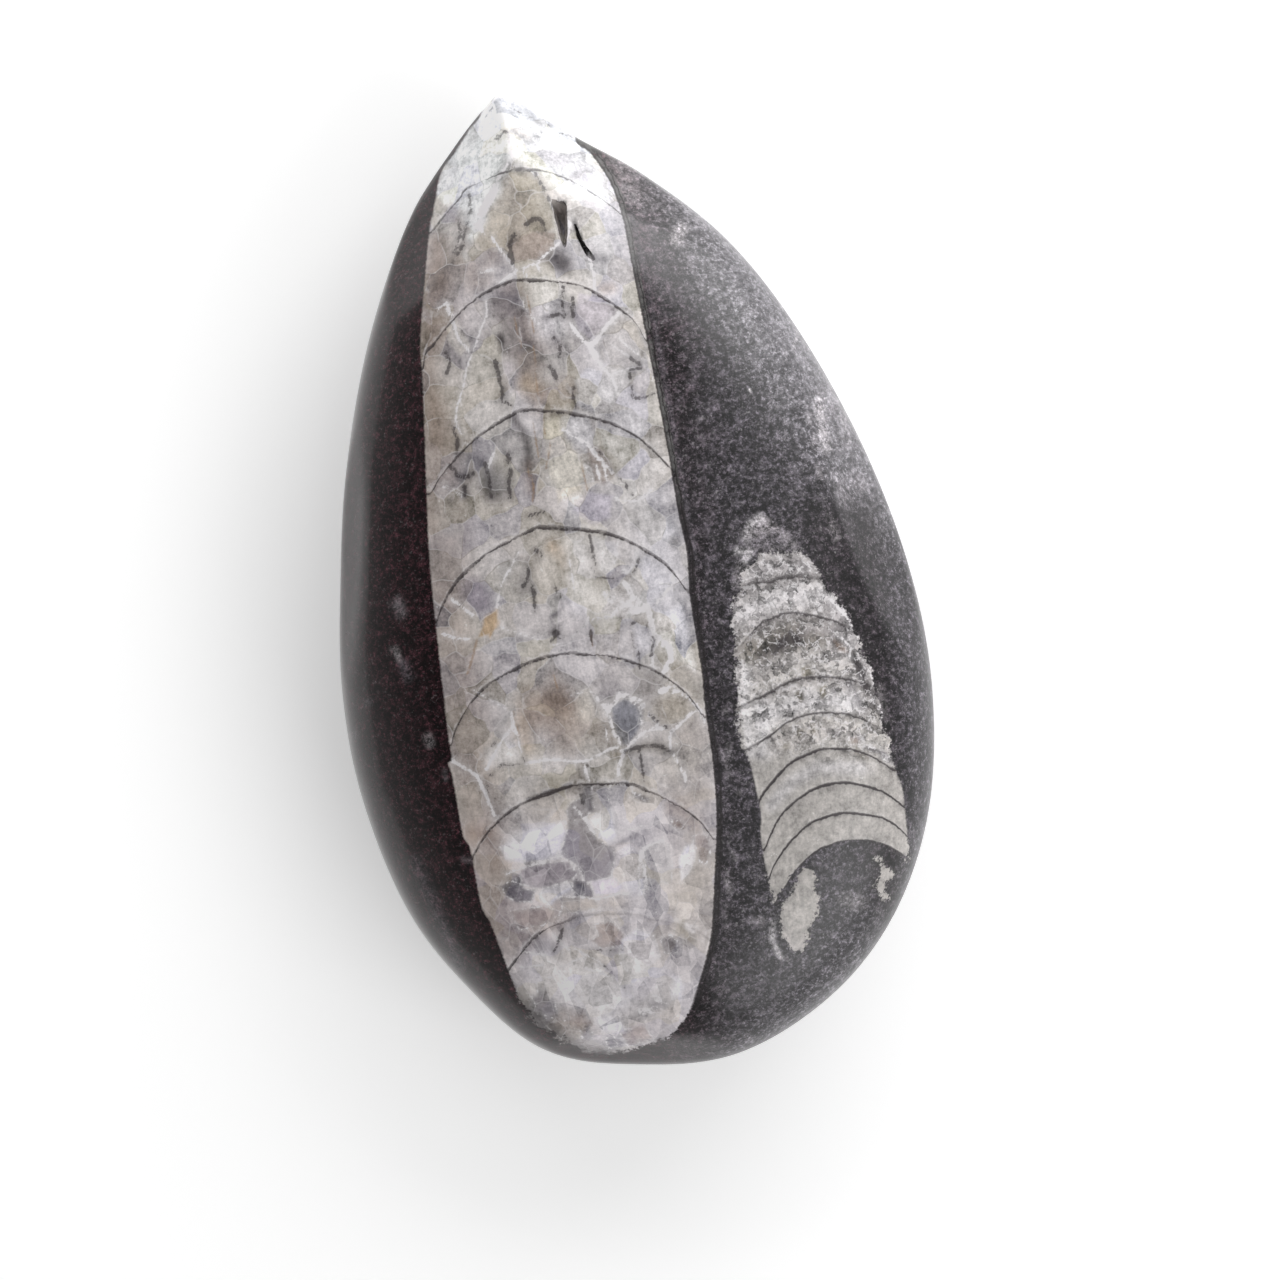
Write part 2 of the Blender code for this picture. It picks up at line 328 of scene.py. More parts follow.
# Soft stains: colour, strength, half-width, softness, then the points it runs through.
STAINS = (
    # whole shell: pinkish left wall, its darker tone partly painted shade from the light on the right;
    # greyer middle; paler right, partly painted light
    ("pink", 0.75, 2.6, 2, (-13.5, 34), (-15, 24), (-17, 12), (-18.5, 0), (-19, -12), (-19.5, -26),
     (-18.5, -36)), ("pale", 0.75, 2.6, 2.5, (5.2, 38), (5.5, 26), (5, 18), (5, 6), (4.5, -5)),
    ("beige", 0.5, 2.5, 2.5, (4, -12), (3.6, -22), (2, -34)),
    ("brown", 0.5, 0.9, 1.2, (-12.2, 39), (-13.4, 34), (-14.8, 28), (-15.6, 22), (-16.2, 18)),
    # above the first septum
    ("slate", 0.7, 0.5, 1, (-11.4, 45), (-9.8, 47.6), (-5.8, 51.4)),
    ("bluish", 0.45, 0.6, 0.9, (-9.4, 47.6), (-8.4, 45.8)),
    ("grey", 0.55, 0.5, 0.8, (-5.3, 49.7), (-5.9, 48.4)),
    ("slate", 0.6, 0.15, 0.4, (0.9, 49.5), (1.6, 48.9)),
    ("ochre", 0.3, 0.4, 0.5, (-3.8, 49.2), (-1.9, 49.4), (-0.3, 48.2)),
    ("lilac", 0.7, 0.9, 1.2, (-8.7, 44.3), (-9.6, 42)), ("lilac", 0.5, 0.5, 1, (0.6, 46.2), (3.4, 44.6)),
    ("lilac", 0.6, 0.8, 1, (4.4, 43), (6.4, 41.6)), ("mid", 0.5, 0.3, 0.7, (6.4, 44.2), (7.5, 41.2)),
    # first chamber
    ("beige", 0.5, 2.2, 1.4, (-3, 42), (-3, 36)), ("brown", 0.7, 1, 1.3, (-11.8, 38.5), (-12.4, 34.6)),
    ("brown", 0.55, 1, 1.2, (-6, 38.5), (-6.4, 36.3)), ("tan", 0.5, 1.6, 1.4, (-9.5, 36), (-8.5, 34.2)),
    ("brown", 0.4, 0.7, 0.8, (-9, 42), (-9, 41)), ("slate", 0.8, 0.9, 0.8, (-1.1, 35.6)),
    ("ink", 0.85, 1, 0.9, (0.3, 34.8), (0.9, 33.9)), ("slate", 0.6, 0.5, 0.7, (4.2, 34), (5.2, 33.5)),
    ("ochre", 0.4, 0.6, 0.8, (4.5, 30.5), (5.5, 30.5)), ("white", 0.7, 0.9, 0.8, (2, 37.3)),
    # second chamber
    ("calcite", 0.8, 3.4, 1.6, (-11.5, 25), (-10.5, 21)),
    ("brown", 0.62, 1.7, 1.3, (-5.2, 31.5), (-4.8, 24)), ("grey", 0.6, 1.3, 1.2, (-5.6, 30.2), (-6, 26)),
    ("olive", 0.45, 0.9, 1, (-9, 27.8)), ("grey", 0.5, 1.1, 1.2, (-6.5, 31.5), (-4.3, 31.2)),
    ("lilac", 0.6, 0.9, 0.8, (-7, 24), (-7, 22.3)), ("ochre", 0.6, 1, 0.9, (-5.4, 22), (-4.4, 21)),
    ("tan", 0.45, 1.6, 1.5, (-3.8, 19.8), (-1.5, 20.5)), ("pale", 0.8, 1.8, 1.4, (-1.3, 31.2), (-1.5, 28)),
    ("ink", 0.9, 0.42, 0.35, (-7.3, 27.6), (-7.2, 27)),
    ("ink", 0.65, 0.3, 0.35, (-7.3, 26.2), (-6.7, 25.9)),
    ("slate", 0.7, 0.4, 0.5, (-5.1, 26), (-4.2, 25.9)),
    ("slate", 0.75, 0.55, 0.5, (-8.4, 21.2), (-8.4, 20.8)),
    ("slate", 0.45, 0.25, 0.6, (-11.8, 26.2), (-12.1, 25.4)),
    ("bluish", 0.55, 0.6, 0.6, (7.4, 24.8), (7.7, 23.6)),
    ("slate", 0.5, 0.45, 0.5, (6.6, 21.5), (6.2, 22.6)),
    ("slate", 0.35, 0.3, 0.5, (-1.9, 28.7), (-0.6, 28.8)),
    ("mid", 0.45, 1.1, 0.9, (0.9, 28.6), (1.4, 25.6)),
    ("olive", 0.4, 0.9, 0.9, (-13.9, 17.6), (-13.6, 16.4)),
    ("olive", 0.5, 0.3, 0.5, (3.1, 25), (3.2, 23.2)),
    # third chamber
    ("grey", 0.62, 1.7, 1.5, (-12, 15), (-10.5, 11.5)), ("calcite", 0.6, 1, 1, (-16.4, 11.4), (-16.6, 8.8)),
    ("ink", 0.85, 0.35, 0.55, (-7.4, 18.6), (-6.8, 17.2), (-6.6, 15.5), (-6.9, 13.4)),
    ("brown", 0.6, 0.7, 0.9, (-6.8, 13.2), (-6.9, 11)), ("olive", 0.3, 0.9, 1, (-5.4, 15.5), (-5.3, 12)),
    ("white", 0.5, 1.4, 1.3, (-2.8, 15.8), (-2.6, 8.6)), ("bluish", 0.35, 1.4, 1.4, (-10.8, 12)),
    ("slate", 0.5, 0.55, 0.7, (-11.5, 14), (-11.4, 11.2)),
    ("slate", 0.75, 0.4, 0.45, (-14.4, 13.7), (-13.4, 13.6)),
    ("slate", 0.7, 0.45, 0.5, (-14.1, 12.4), (-14.2, 11.6)), ("slate", 0.5, 0.35, 0.6, (-15.8, 11.3)),
    ("white", 0.5, 0.6, 0.6, (6.5, 3.7)), ("olive", 0.4, 0.5, 0.6, (7, 2.3)),
    ("brown", 0.35, 0.6, 0.8, (0.6, 13.4), (1.6, 11)),
    # fourth chamber
    ("violet", 0.9, 1.35, 0.8, (-15.3, 1.4), (-14.9, 0.2)), ("bluish", 0.35, 0.8, 0.9, (-11.8, 3)),
    ("ochre", 0.6, 0.6, 0.8, (-6, 4.4), (-5.2, 3.4), (-4.8, 2.2)),
    ("pale", 0.7, 1.4, 1.2, (-0.6, -2.4), (2, -3.8)), ("slate", 0.5, 0.5, 0.7, (0.7, -7), (0.7, -9.8)),
    ("bluish", 0.35, 0.7, 0.9, (-11.5, -5.4)), ("pale", 0.8, 1.6, 1.4, (-3.6, 3.4), (-3.8, -1.5)),
    ("olive", 0.3, 0.5, 0.7, (-5.6, 2.8), (-5.6, 0.2)), ("grey", 0.35, 1, 1, (-9, 2.4), (-9.8, 0.8)),
    ("slate", 0.4, 0.3, 0.5, (-7.9, 4.2), (-7.9, 3.2)), ("ink", 0.7, 0.28, 0.3, (-7.3, -5)),
    ("white", 0.6, 0.1, 0.3, (0.6, -10), (2.4, -11.3), (4.3, -12.9), (5.9, -15.2)),
    ("ink", 0.8, 0.25, 0.25, (-7.9, -4.6), (-7, -4.3)), ("slate", 0.8, 0.3, 0.3, (-7.5, -3), (-7, -2.8)),
    ("white", 0.5, 1, 0.9, (-1.2, -3.2), (0.2, -4)), ("pale", 0.6, 2, 1.6, (-1, -6), (1.5, -7.8)),
    # fifth chamber
    ("tan", 0.8, 2.2, 1.5, (-11, -12.4), (-9, -12.8)), ("brown", 0.7, 1, 1.2, (-9.2, -11.9), (-7.9, -12.2)),
    ("ochre", 0.45, 0.9, 1.1, (-13, -13.8), (-12.9, -16)), ("tan", 0.5, 1.8, 1.5, (-8.5, -16), (-7, -15)),
    ("brown", 0.4, 0.8, 1, (-8.7, -9.5), (-8.4, -10.6)),
    ("grey", 0.5, 1.2, 1, (-3.4, -12.5), (-2.8, -11.6)), ("mid", 0.6, 1.5, 0.8, (0.9, -12.9), (1.6, -11.7)),
    ("beige", 0.7, 1.6, 1, (3.4, -15), (4.4, -15.2)),
    ("pale", 0.85, 1.1, 0.7, (-16.4, -16.6), (-14.7, -16.7)),
    ("brown", 0.35, 1.2, 1, (-3.8, -17.1), (-4, -16)),
    ("olive", 0.6, 0.4, 0.8, (-2.4, -18.9), (0, -18.6), (2.2, -19.6)),
    ("cream", 0.6, 0.9, 0.8, (-5.6, -12), (-5.8, -14)),
    ("olive", 0.4, 1.1, 1.2, (-11.5, -20.7), (-8, -20.5)), ("olive", 0.35, 0.8, 1, (-2.8, -21.5)),
    ("olive", 0.35, 1.1, 1.3, (4.8, -25)), ("brown", 0.6, 0.9, 1, (-20.4, -24.3), (-18.9, -24.6)),
    # sixth chamber
    ("beige", 0.5, 1.6, 1.4, (-12.4, -22.9), (-10.8, -23.2)),
    ("pale", 0.6, 1.6, 1, (-15.6, -26.6), (-12.2, -26.8)),
    ("pale", 0.7, 0.9, 0.7, (-4.3, -29.6), (-4.4, -33)),
    ("tan", 0.45, 0.9, 0.9, (1.4, -25.6), (3.2, -27.8)),
    ("grey", 0.7, 0.22, 0.3, (-5.6, -28.5), (-4.6, -28.2), (-3, -27.7)),
    ("slate", 0.55, 0.5, 0.6, (-7.6, -23.2), (-7.1, -23.9)),
    ("tan", 0.6, 1.4, 1.3, (-15, -34.8), (-12.5, -34.2)), ("beige", 0.6, 1, 1, (-9, -34.2), (-6.5, -34.6)),
    ("brown", 0.35, 0.8, 0.9, (-17.9, -26.5), (-18.6, -28)),
    ("olive", 0.5, 0.45, 0.5, (-2.2, -23.6), (-1.5, -24.3)),
    # below the last septum
    ("pale", 0.8, 2.2, 2, (-15.5, -39.8), (-12.4, -42.4), (-9.5, -44.6), (-5.5, -43)),
    ("black", 0.85, 1, 1.5, (-20, -42), (-18.4, -44.4), (-16.4, -46.8), (-13.6, -49.2), (-10.8, -50.4)),
    ("black", 0.7, 0.3, 0.8, (-10.8, -50.4), (-7.6, -50.6), (-4.6, -49.8)),
    ("slate", 0.6, 0.8, 1, (-15.3, -37), (-14.2, -38.4)),
    ("black", 0.9, 0.9, 0.8, (-17, -43.7), (-16, -44.9)),
    ("tan", 0.5, 0.9, 0.9, (-14.6, -45.6), (-13, -46.6)), ("slate", 0.5, 0.5, 0.6, (-9.3, -49.2)),
    ("mid", 0.6, 0.25, 0.5, (-9.8, -40.4), (-8, -42.4), (-7, -44.2)),
    ("grey", 0.6, 0.5, 0.6, (-0.9, -36.8), (-1.8, -38.2)),
    ("olive", 0.6, 0.8, 0.8, (-0.2, -38.6), (0.2, -39.8)),
    ("white", 0.7, 0.25, 0.3, (0.4, -38.4), (0.9, -39.1)),
    # small shell
    ("frost", 0.9, 9, 2, (17, -2), (17, -18)), ("sand", 0.9, 9, 2, (17, -22), (18, -36)),
    ("mid", 0.8, 0.7, 0.8, (14.4, -2.8), (17, -2.2), (20.5, -3)),
    ("pale", 0.7, 0.9, 1, (12.6, -6.6), (17, -5.6), (21.6, -6.4)),
    ("olive", 0.7, 1.4, 1.4, (12.8, -10.8), (17, -9.9), (20, -10.4)),
    ("mid", 0.7, 0.9, 1, (22.4, -7.6), (23.2, -9.4), (23.6, -11)),
    ("ink", 0.75, 0.9, 0.9, (14.4, -10.9), (18.2, -10.1)),
    ("black", 0.6, 0.4, 0.5, (16, -10.6), (18.4, -10.9)),
    ("mid", 0.7, 0.7, 0.8, (19.2, -9.4), (22.4, -10.6)),
    ("white", 0.8, 0.4, 0.7, (11.8, -12.6), (11, -16.4), (10.6, -21.5)),
    ("white", 0.8, 0.9, 1.1, (12.6, -16.8), (12, -21.4)),
    ("grey", 0.5, 0.5, 0.7, (13.5, -15.9), (17.3, -15), (22.5, -16.2)),
    ("pale", 0.85, 1.1, 0.9, (13, -17.9), (17.5, -17.1), (22.4, -18.2)),
    ("slate", 0.7, 0.35, 0.3, (20.8, -16.7)),
    ("calcite", 0.8, 0.9, 0.9, (13.4, -21.4), (17.2, -20.4), (21.4, -21.2)),
    ("olive", 0.7, 0.5, 0.25, (17.8, -20.3)), ("slate", 0.7, 0.22, 0.25, (19.5, -20.8), (20.4, -21.4)),
    ("slate", 0.8, 0.28, 0.25, (22, -21.9), (22.8, -22.3)), ("olive", 0.6, 0.45, 0.3, (14.5, -21.5)),
    ("slate", 0.7, 0.35, 0.3, (11.5, -21.9)), ("ink", 0.8, 0.35, 0.4, (21.6, -11.3), (22.2, -12)),
    ("black", 0.95, 0.3, 0.35, (23.2, -12.9), (23.9, -14.6), (24.4, -17.6)),
    ("slate", 0.6, 0.6, 0.8, (22.6, -16.5), (23.6, -19.5)),
    ("black", 0.95, 0.22, 0.22, (22.8, -23.3), (23.9, -23.8)),
    ("olive", 0.6, 0.4, 0.5, (21.4, -22.6), (22.6, -24.2)),
    ("pale", 0.7, 0.7, 0.7, (11.8, -27.4), (14.4, -25.4), (17.5, -24.4), (22, -25.4)),
)

# Grains of spar with plain faces: colour, then the corners.
CRYSTALS = (
    # the tip's chevron: its grey tongue, its left facet and left arm painted bright as highlights, and its
    # dark peak
    ("beige", (-3.4, 44.6), (-2.3, 45.3), (-0.6, 44.6), (0.2, 42.6), (0.9, 40.4), (0.7, 38), (-2, 37.2),
     (-5.2, 36.6), (-8.4, 37.2), (-6.7, 40.1), (-5, 42.3)),
    ("bright", (-10.2, 43.6), (-7.6, 46.8), (-5.2, 49.6), (-3.2, 50.2), (-2.4, 48.6), (-2.5, 46.6),
     (-3.9, 45.2), (-5.6, 43.4), (-7.4, 41.6), (-9, 41.8)),
    ("bright", (-3.3, 45), (-4.8, 43.6), (-6.4, 41.9), (-7.4, 40.8), (-8, 39.8), (-9.1, 37.7),
     (-9.5, 36.6), (-8.4, 37.8), (-6.7, 40.1), (-5, 42.3), (-3.5, 44.4)),
    ("grey", (-2.4, 46.4), (-3.3, 44.9), (-0.9, 44.8)),
    ("pink", (-4.6, 37.4), (-1.6, 38), (0.8, 37.4), (0.2, 35.8), (-1.8, 35), (-4.2, 35.2)),
    # second and third chambers
    ("lilac", (0.9, 28.3), (2, 30.6), (4.2, 29.6), (5.7, 27.9), (3.6, 26.2), (2.3, 25.4), (1.2, 26.6)),
    ("calcite", (3.4, 25.2), (5.9, 27.1), (7.3, 26.1), (7.8, 23.6), (7.3, 21.7), (4.3, 21.7), (3.2, 22.7)),
    ("pale", (-0.2, 21.6), (1.4, 22.6), (3, 21.6), (3.9, 19.9), (3.7, 18.5), (2.8, 17.1), (0.9, 17.6),
     (-0.6, 18.8)),
    ("calcite", (5.5, 21.2), (7.3, 21.4), (8.1, 20.2), (7.8, 18.8), (6.5, 18.5), (5.7, 19.1)),
    ("pale", (1.1, -1.3), (3, 2.1), (5.8, -1.3), (6.2, -1.9), (3.4, -3.8), (1.5, -2.7)),
    ("pale", (-1.5, 4.7), (0.8, 3.3), (0, 0.4), (-0.9, -0.2), (-1.7, 1.3)),
    ("white", (3.5, -4.8), (6.5, -4.5), (6.7, -12), (4.4, -9.5), (3.2, -7.3)),
    ("calcite", (-1.5, -4.5), (1, -4.8), (0.6, -9.2), (-2, -8)),
    ("cream", (-12.6, 29.7), (-11.5, 30.3), (-10.5, 27.2), (-11.8, 26.4), (-12.9, 28.1)),
    ("calcite", (-9.4, 29), (-8.8, 27.8), (-8.4, 25.2), (-7.9, 19.9), (-9.3, 19.1), (-13.1, 17.8),
     (-13.6, 19.9), (-12.8, 22.7), (-11, 26.2)),
    ("lilac", (-3.2, 7.8), (-1.1, 9.4), (1.4, 8.6), (0.6, 6.2), (-1.3, 5.8)),
    ("cream", (-4.5, 17.8), (-2.8, 18), (-2.2, 15.4), (-0.9, 12), (-2, 9.6), (-4.4, 9), (-4.9, 12.6)),
    ("pale", (-2.4, 18), (0.4, 17.4), (1, 14.2), (0.2, 12.6), (-1.8, 15.2)),
    ("pale", (1.2, 16.6), (4.4, 13.2), (3.2, 11.6), (1.4, 13.8)),
    ("pink", (-0.4, 14.2), (0.9, 13.6), (2, 10.6), (0.6, 9.8), (-0.4, 10.8)),
    ("star", (-13, -0.9), (-13.9, -1.4), (-14.7, -1.7), (-15, -2.6), (-15.7, -3.7), (-14.7, -3.6),
     (-14.4, -4), (-13.9, -3.2), (-13.2, -2.9), (-13.3, -2)),
    ("bluish", (-3.1, -13.7), (-1.6, -13.1), (-0.2, -13.9), (0.1, -15.4), (-0.6, -16.7), (-2.4, -18.4),
     (-3.1, -17), (-3.4, -15.1)),
    ("beige", (-4.2, -18.2), (-3.5, -18.1), (-2.7, -18.8), (-3.3, -19.7), (-4, -19.4)),
    # sixth chamber
    ("pale", (-17.8, -26.3), (-14.9, -25.1), (-10.3, -24.8), (-10.6, -26.3), (-11.6, -28), (-13.5, -28.6),
     (-15.2, -28.3), (-17.3, -27.7)),
    ("violet", (-15.4, -28.8), (-13.5, -28.9), (-10.9, -29.1), (-10.1, -30.6), (-10.8, -31.2),
     (-14, -31.5), (-15.2, -31.2), (-17.2, -30.1)),
    ("slate", (-18.4, -30.4), (-16.2, -29.8), (-16.1, -31.2), (-14.9, -31.5), (-15.5, -32.7),
     (-17.2, -32.4), (-18.1, -31.5)),
    ("pale", (-14.6, -32.1), (-14, -31.5), (-12, -31.4), (-10.8, -31.5), (-11.1, -32.3), (-12.6, -32.8),
     (-13.8, -33.6), (-14.5, -33)), ("beige", (-12.2, -32.8), (-9, -33.4), (-8.5, -34.8), (-12.6, -34.6)),
    ("pink", (-18, -33.2), (-14.4, -33.4), (-12.4, -34.4), (-14.8, -35.4), (-17.4, -35.4)),
    ("grey", (-10, -23.8), (-9.4, -23.1), (-8.5, -22.8), (-7.8, -22.9), (-7.8, -24.7), (-8.3, -25),
     (-10, -25)), ("slate", (-7.8, -21.6), (-6.8, -21.6), (-6.9, -22.8), (-7.1, -24.5), (-7.8, -24.5)),
    ("mid", (-6.8, -21.8), (-5.3, -21.6), (-5.2, -23.5), (-6.2, -24.5), (-7, -24.7), (-6.9, -22.8)),
    ("calcite", (-5.1, -22.2), (-4.4, -21.9), (-2.5, -22.6), (-2.7, -23.4), (-2.2, -24.1), (-0.9, -24.4),
     (0.2, -25), (0, -26.6), (-1.5, -26.9), (-5, -27.2), (-5.3, -24.6), (-5.1, -23.6)),
    ("pale", (-8.1, -25.1), (-6.3, -24.8), (-5.2, -24.4), (-5.2, -27.4), (-5.7, -28), (-6.5, -27.7),
     (-7.8, -26.1)), ("slate", (-2.7, -23.2), (-2.1, -23.4), (-0.8, -24.4), (-1.5, -24.5), (-2.5, -23.8)),
    ("brown", (0.8, -26.9), (2, -27.3), (2.2, -28.3), (1.1, -27.7)),
    ("grey", (-10.4, -26.2), (-10, -25), (-8.2, -25.1), (-7.8, -26), (-7.2, -27.7), (-6.2, -28.3),
     (-5.7, -28.9), (-5.9, -29.9), (-6.6, -31.8), (-9.4, -31.7), (-9.8, -30.1), (-11.4, -28.3),
     (-11.1, -27.4)),
    ("slate", (-10.6, -31.2), (-9.4, -31.6), (-8.8, -32.7), (-8.9, -33.5), (-10.8, -33), (-11, -32.1)),
    ("lilac", (-8.9, -31.8), (-6.4, -31.7), (-5.6, -33), (-6.2, -33.6), (-8.6, -33.3)),
    ("sand", (-2.7, -29.5), (-1.2, -29.1), (0, -29.2), (0.1, -31.5), (-0.4, -33.6), (-2.6, -33.4),
     (-3.5, -34.2), (-3.1, -31.5)),
    ("white", (-3.1, -29.6), (-2.7, -29.5), (-3.1, -31.6), (-3.5, -34.2), (-4, -34.2), (-3.5, -31.5)),
    ("white", (1.1, -31), (1.8, -30.1), (2.7, -29.9), (2.9, -30.7), (2.4, -31.8), (1.8, -32.7),
     (0.7, -33.6), (0.8, -32.1)),
    ("pink", (2.9, -29), (4.3, -29.2), (4.5, -30.7), (3.7, -32.4), (3, -31.8), (2.9, -30.4)),
    # below the last septum
    ("pink", (-9.4, -36.3), (-7.4, -36.5), (-6.5, -37.9), (-6.8, -39.1), (-9.1, -39.1), (-10, -38),
     (-9.1, -37.6)),
    ("pale", (-7.3, -40), (-6.8, -38.5), (-5, -37.7), (-3.3, -38.8), (-3, -41), (-5, -42.3),
     (-6.2, -43.2), (-7.3, -41.1)),
    ("pale", (-11.4, -43.2), (-9.2, -42.6), (-6.9, -43.6), (-6.6, -45.2), (-8.6, -46.2), (-11, -45.8)),
    ("pale", (-14.2, -40.2), (-11.2, -39.6), (-9.2, -41.4), (-11.6, -43), (-13.6, -42.4)),
    ("grey", (-17.4, -42.4), (-16.2, -42.2), (-15.2, -43.6), (-15, -45.2), (-16.2, -45.4), (-17.2, -44)),
    ("pink", (-14.8, -45.6), (-12.4, -45.4), (-11.4, -46.8), (-13.4, -47.2)),
    ("grey", (-13, -47.4), (-12.2, -47.1), (-11.6, -47.8), (-12.2, -48.6), (-13, -48.2)),
    ("grey", (-10.6, -48.6), (-9.6, -48.5), (-9.3, -49.6), (-10.4, -49.9)),
    ("pink", (-8.9, -48.4), (-6.2, -47.8), (-5.6, -49.6), (-8.2, -50)),
    ("grey", (-6.8, -46), (-4.4, -45.9), (-2.6, -46.5), (-4.2, -47), (-6.4, -46.8)),
    ("mid", (-2.7, -39.3), (-1.6, -39), (-0.9, -40), (-1.1, -41), (-2.5, -40.9)),
    ("white", (-11.1, -46.6), (-9.9, -46.2), (-8.5, -46.9), (-8.3, -48.1), (-9.6, -48.3), (-10.7, -47.9)),
    ("white", (-2.8, -44.6), (-1.6, -43.9), (-1, -44.8), (-2, -45.8), (-2.7, -45.5)),
    # small shell
    ("brown", (21.7, -11.2), (22.5, -11.8), (23.6, -13.1), (22.6, -12.7), (21.8, -12.2)),
    ("ink", (23.2, -13.5), (24, -13.9), (24.9, -16.4), (25.6, -20.6), (24.6, -19.6), (23.6, -16.5)),
    ("olive", (16.5, -16.1), (17.3, -16), (17.4, -17), (16.7, -17.2)),
    ("olive", (19.1, -16), (20, -15.9), (19.9, -17.1), (19.2, -17.3)),
    ("olive", (17.7, -13.4), (18.6, -13.5), (18.9, -14.5), (17.8, -14.6)),
    ("olive", (15.9, -20), (16.7, -20), (16.6, -20.8), (16, -20.8)),
    ("brown", (21.3, -21.8), (22.2, -21.9), (22.4, -22.8), (21.5, -22.7)),
    ("ink", (22.8, -23.2), (23.6, -23.3), (24.2, -24), (23.2, -23.8)),
    ("slate", (24.2, -23.6), (25.2, -24.4), (25.5, -25.6), (24.6, -25)),
    ("ink", (15.5, -10.2), (16.4, -10), (16.9, -10.9), (16, -11.4)),
    ("ink", (17.2, -9.6), (18.1, -10), (18.6, -11.2), (17.4, -11)),
)

# Fine lines: half-width, then the points they run through.
DARK_LINES = (
    (0.05, (-3, 52), (-1, 51.2), (0.2, 50.5), (2, 49.1), (4.6, 46.9)), (0.06, (-3, 52), (-5.2, 50.6)),
    (0.07, (-0.2, 44.3), (0.6, 41.4), (0.9, 40.3)),
    (0.16, (-2.2, 38.9), (-1.2, 39.4), (-0.4, 38.9), (-0.3, 38)),
    (0.2, (-3.7, 38), (-4.3, 37.2), (-4.5, 36), (-4.4, 35.2)),
    (0.09, (-7.6, 43.2), (-7.7, 41.6), (-8.7, 39.6), (-9.4, 37.8), (-10.4, 36.6)),
    (0.08, (-9.2, 40.6), (-9.4, 39.2), (-9.9, 38), (-10.8, 36.4)),
    (0.1, (-3.8, 48.3), (-2.8, 49.2), (-2.3, 49)),
    (0.16, (-8.3, 25.2), (-8.2, 24), (-8.1, 22.1), (-8.3, 21), (-7.7, 20.2)),
    (0.13, (-13.3, 27.1), (-13.1, 25.9), (-13.6, 24.9)), (0.14, (-1.6, 26.3), (-1.1, 25.7), (-1.4, 24.2)),
    (0.2, (-2.6, 23.4), (-2.3, 22.6), (-2.1, 21.9)), (0.13, (-1.7, 28.7), (-0.3, 28.7)),
    (0.15, (1.2, 30.2), (0.9, 29), (0.8, 28.2)), (0.1, (0.4, 31.5), (-0.1, 29.4), (0, 28.4)),
    (0.11, (-0.6, 20.8), (-0.8, 19.4), (-0.9, 18.4)), (0.12, (5.7, 20.9), (5.6, 19.8), (5.5, 18.6)),
    (0.1, (5.6, 18.3), (6.8, 18.2), (7.9, 18.5)), (0.11, (6.1, 22.7), (7, 21.7), (7.1, 21.4), (5.8, 21.4)),
    (0.12, (-14.2, 19), (-13.8, 17.8), (-14.3, 16)), (0.22, (-8.8, 15), (-9, 14.2)),
    (0.17, (-8.8, 13.4), (-9.1, 12.6), (-9.4, 11.9), (-9.5, 10.5)),
    (0.14, (-11.5, 14.6), (-11.3, 13), (-11.5, 10.9)),
    (0.15, (-15.2, 15.2), (-14.6, 13.8), (-13.7, 13.4), (-12.9, 13.7)), (0.16, (-14, 12.5), (-14.2, 11.6)),
    (0.06, (2.4, 10.2), (3, 9.1), (3.6, 7.9)), (0, (0.4, 14.3), (1.2, 12.6), (2.3, 10.3)),
    (0.11, (-8.1, 8), (-6.2, 8.2)), (0.12, (-9, 2.8), (-9.2, 1.7), (-10.1, 0.5)),
    (0.12, (-8.9, 0.7), (-8.9, -0.3), (-9.2, -1.9)), (0.13, (-6.6, -0.1), (-6.2, -1.1)),
    (0.15, (-1.8, 4.9), (-1.9, 3.2), (-2, 1.5)), (0.09, (-2.5, 0.8), (-1.3, -0.1), (-0.2, -0.1)),
    (0.1, (2, -0.1), (2.9, 1.3)), (0.03, (-8.3, -5.7), (-5.6, -5.2), (-2.9, -4.4), (-1.8, -4.7)),
    (0.3, (-7.4, -4.8), (-7.6, -5.3)), (0.14, (-7.8, 4.3), (-7.3, 3.6)), (0.07, (-3.7, -4.7), (-3.9, -7)),
    (0.12, (0.6, -6.5), (0.8, -9), (0.6, -10.4)), (0.14, (2.8, -7.5), (2.2, -9.2)),
    (0.1, (0.4, -5.6), (1.3, -5.2), (2.2, -5.9), (2.2, -7)), (0.1, (0, -14.5), (1.4, -16.2), (2.7, -17.6)),
    (-0.04, (-14.4, -13.1), (-15.8, -14.9), (-17, -15.7), (-17.6, -16.4)),
    (-0.02, (-17.8, -18.8), (-15.8, -17.6), (-14, -18)),
    (-0.04, (-13.5, -16.8), (-13.4, -19), (-13.6, -21.5)),
    (0, (-17.8, -19.2), (-17.8, -21.1), (-17.2, -22.7)), (0.1, (-1.1, -18.8), (-1, -20.5), (-1.1, -22.3)),
    (0.16, (-2.5, -18.8), (-1.4, -18.6), (0, -18.6), (1.4, -19), (2.3, -19.8)),
    (0.18, (-13.8, -21.8), (-11.5, -21.5), (-9, -21.2)),
    (-0.05, (-10.9, -38.8), (-8.4, -39.4), (-6.6, -39.6)),
    (0.05, (-9.2, -40.9), (-8, -42.6), (-7.2, -44.2)),
    (0.05, (-14.2, -38.5), (-13.3, -37.1), (-12.8, -36.2)),
    (0.14, (-8.2, -21.5), (-7.9, -22.6), (-8.1, -23.4)), (0.12, (15.2, -11.5), (17.4, -9.5)),
)
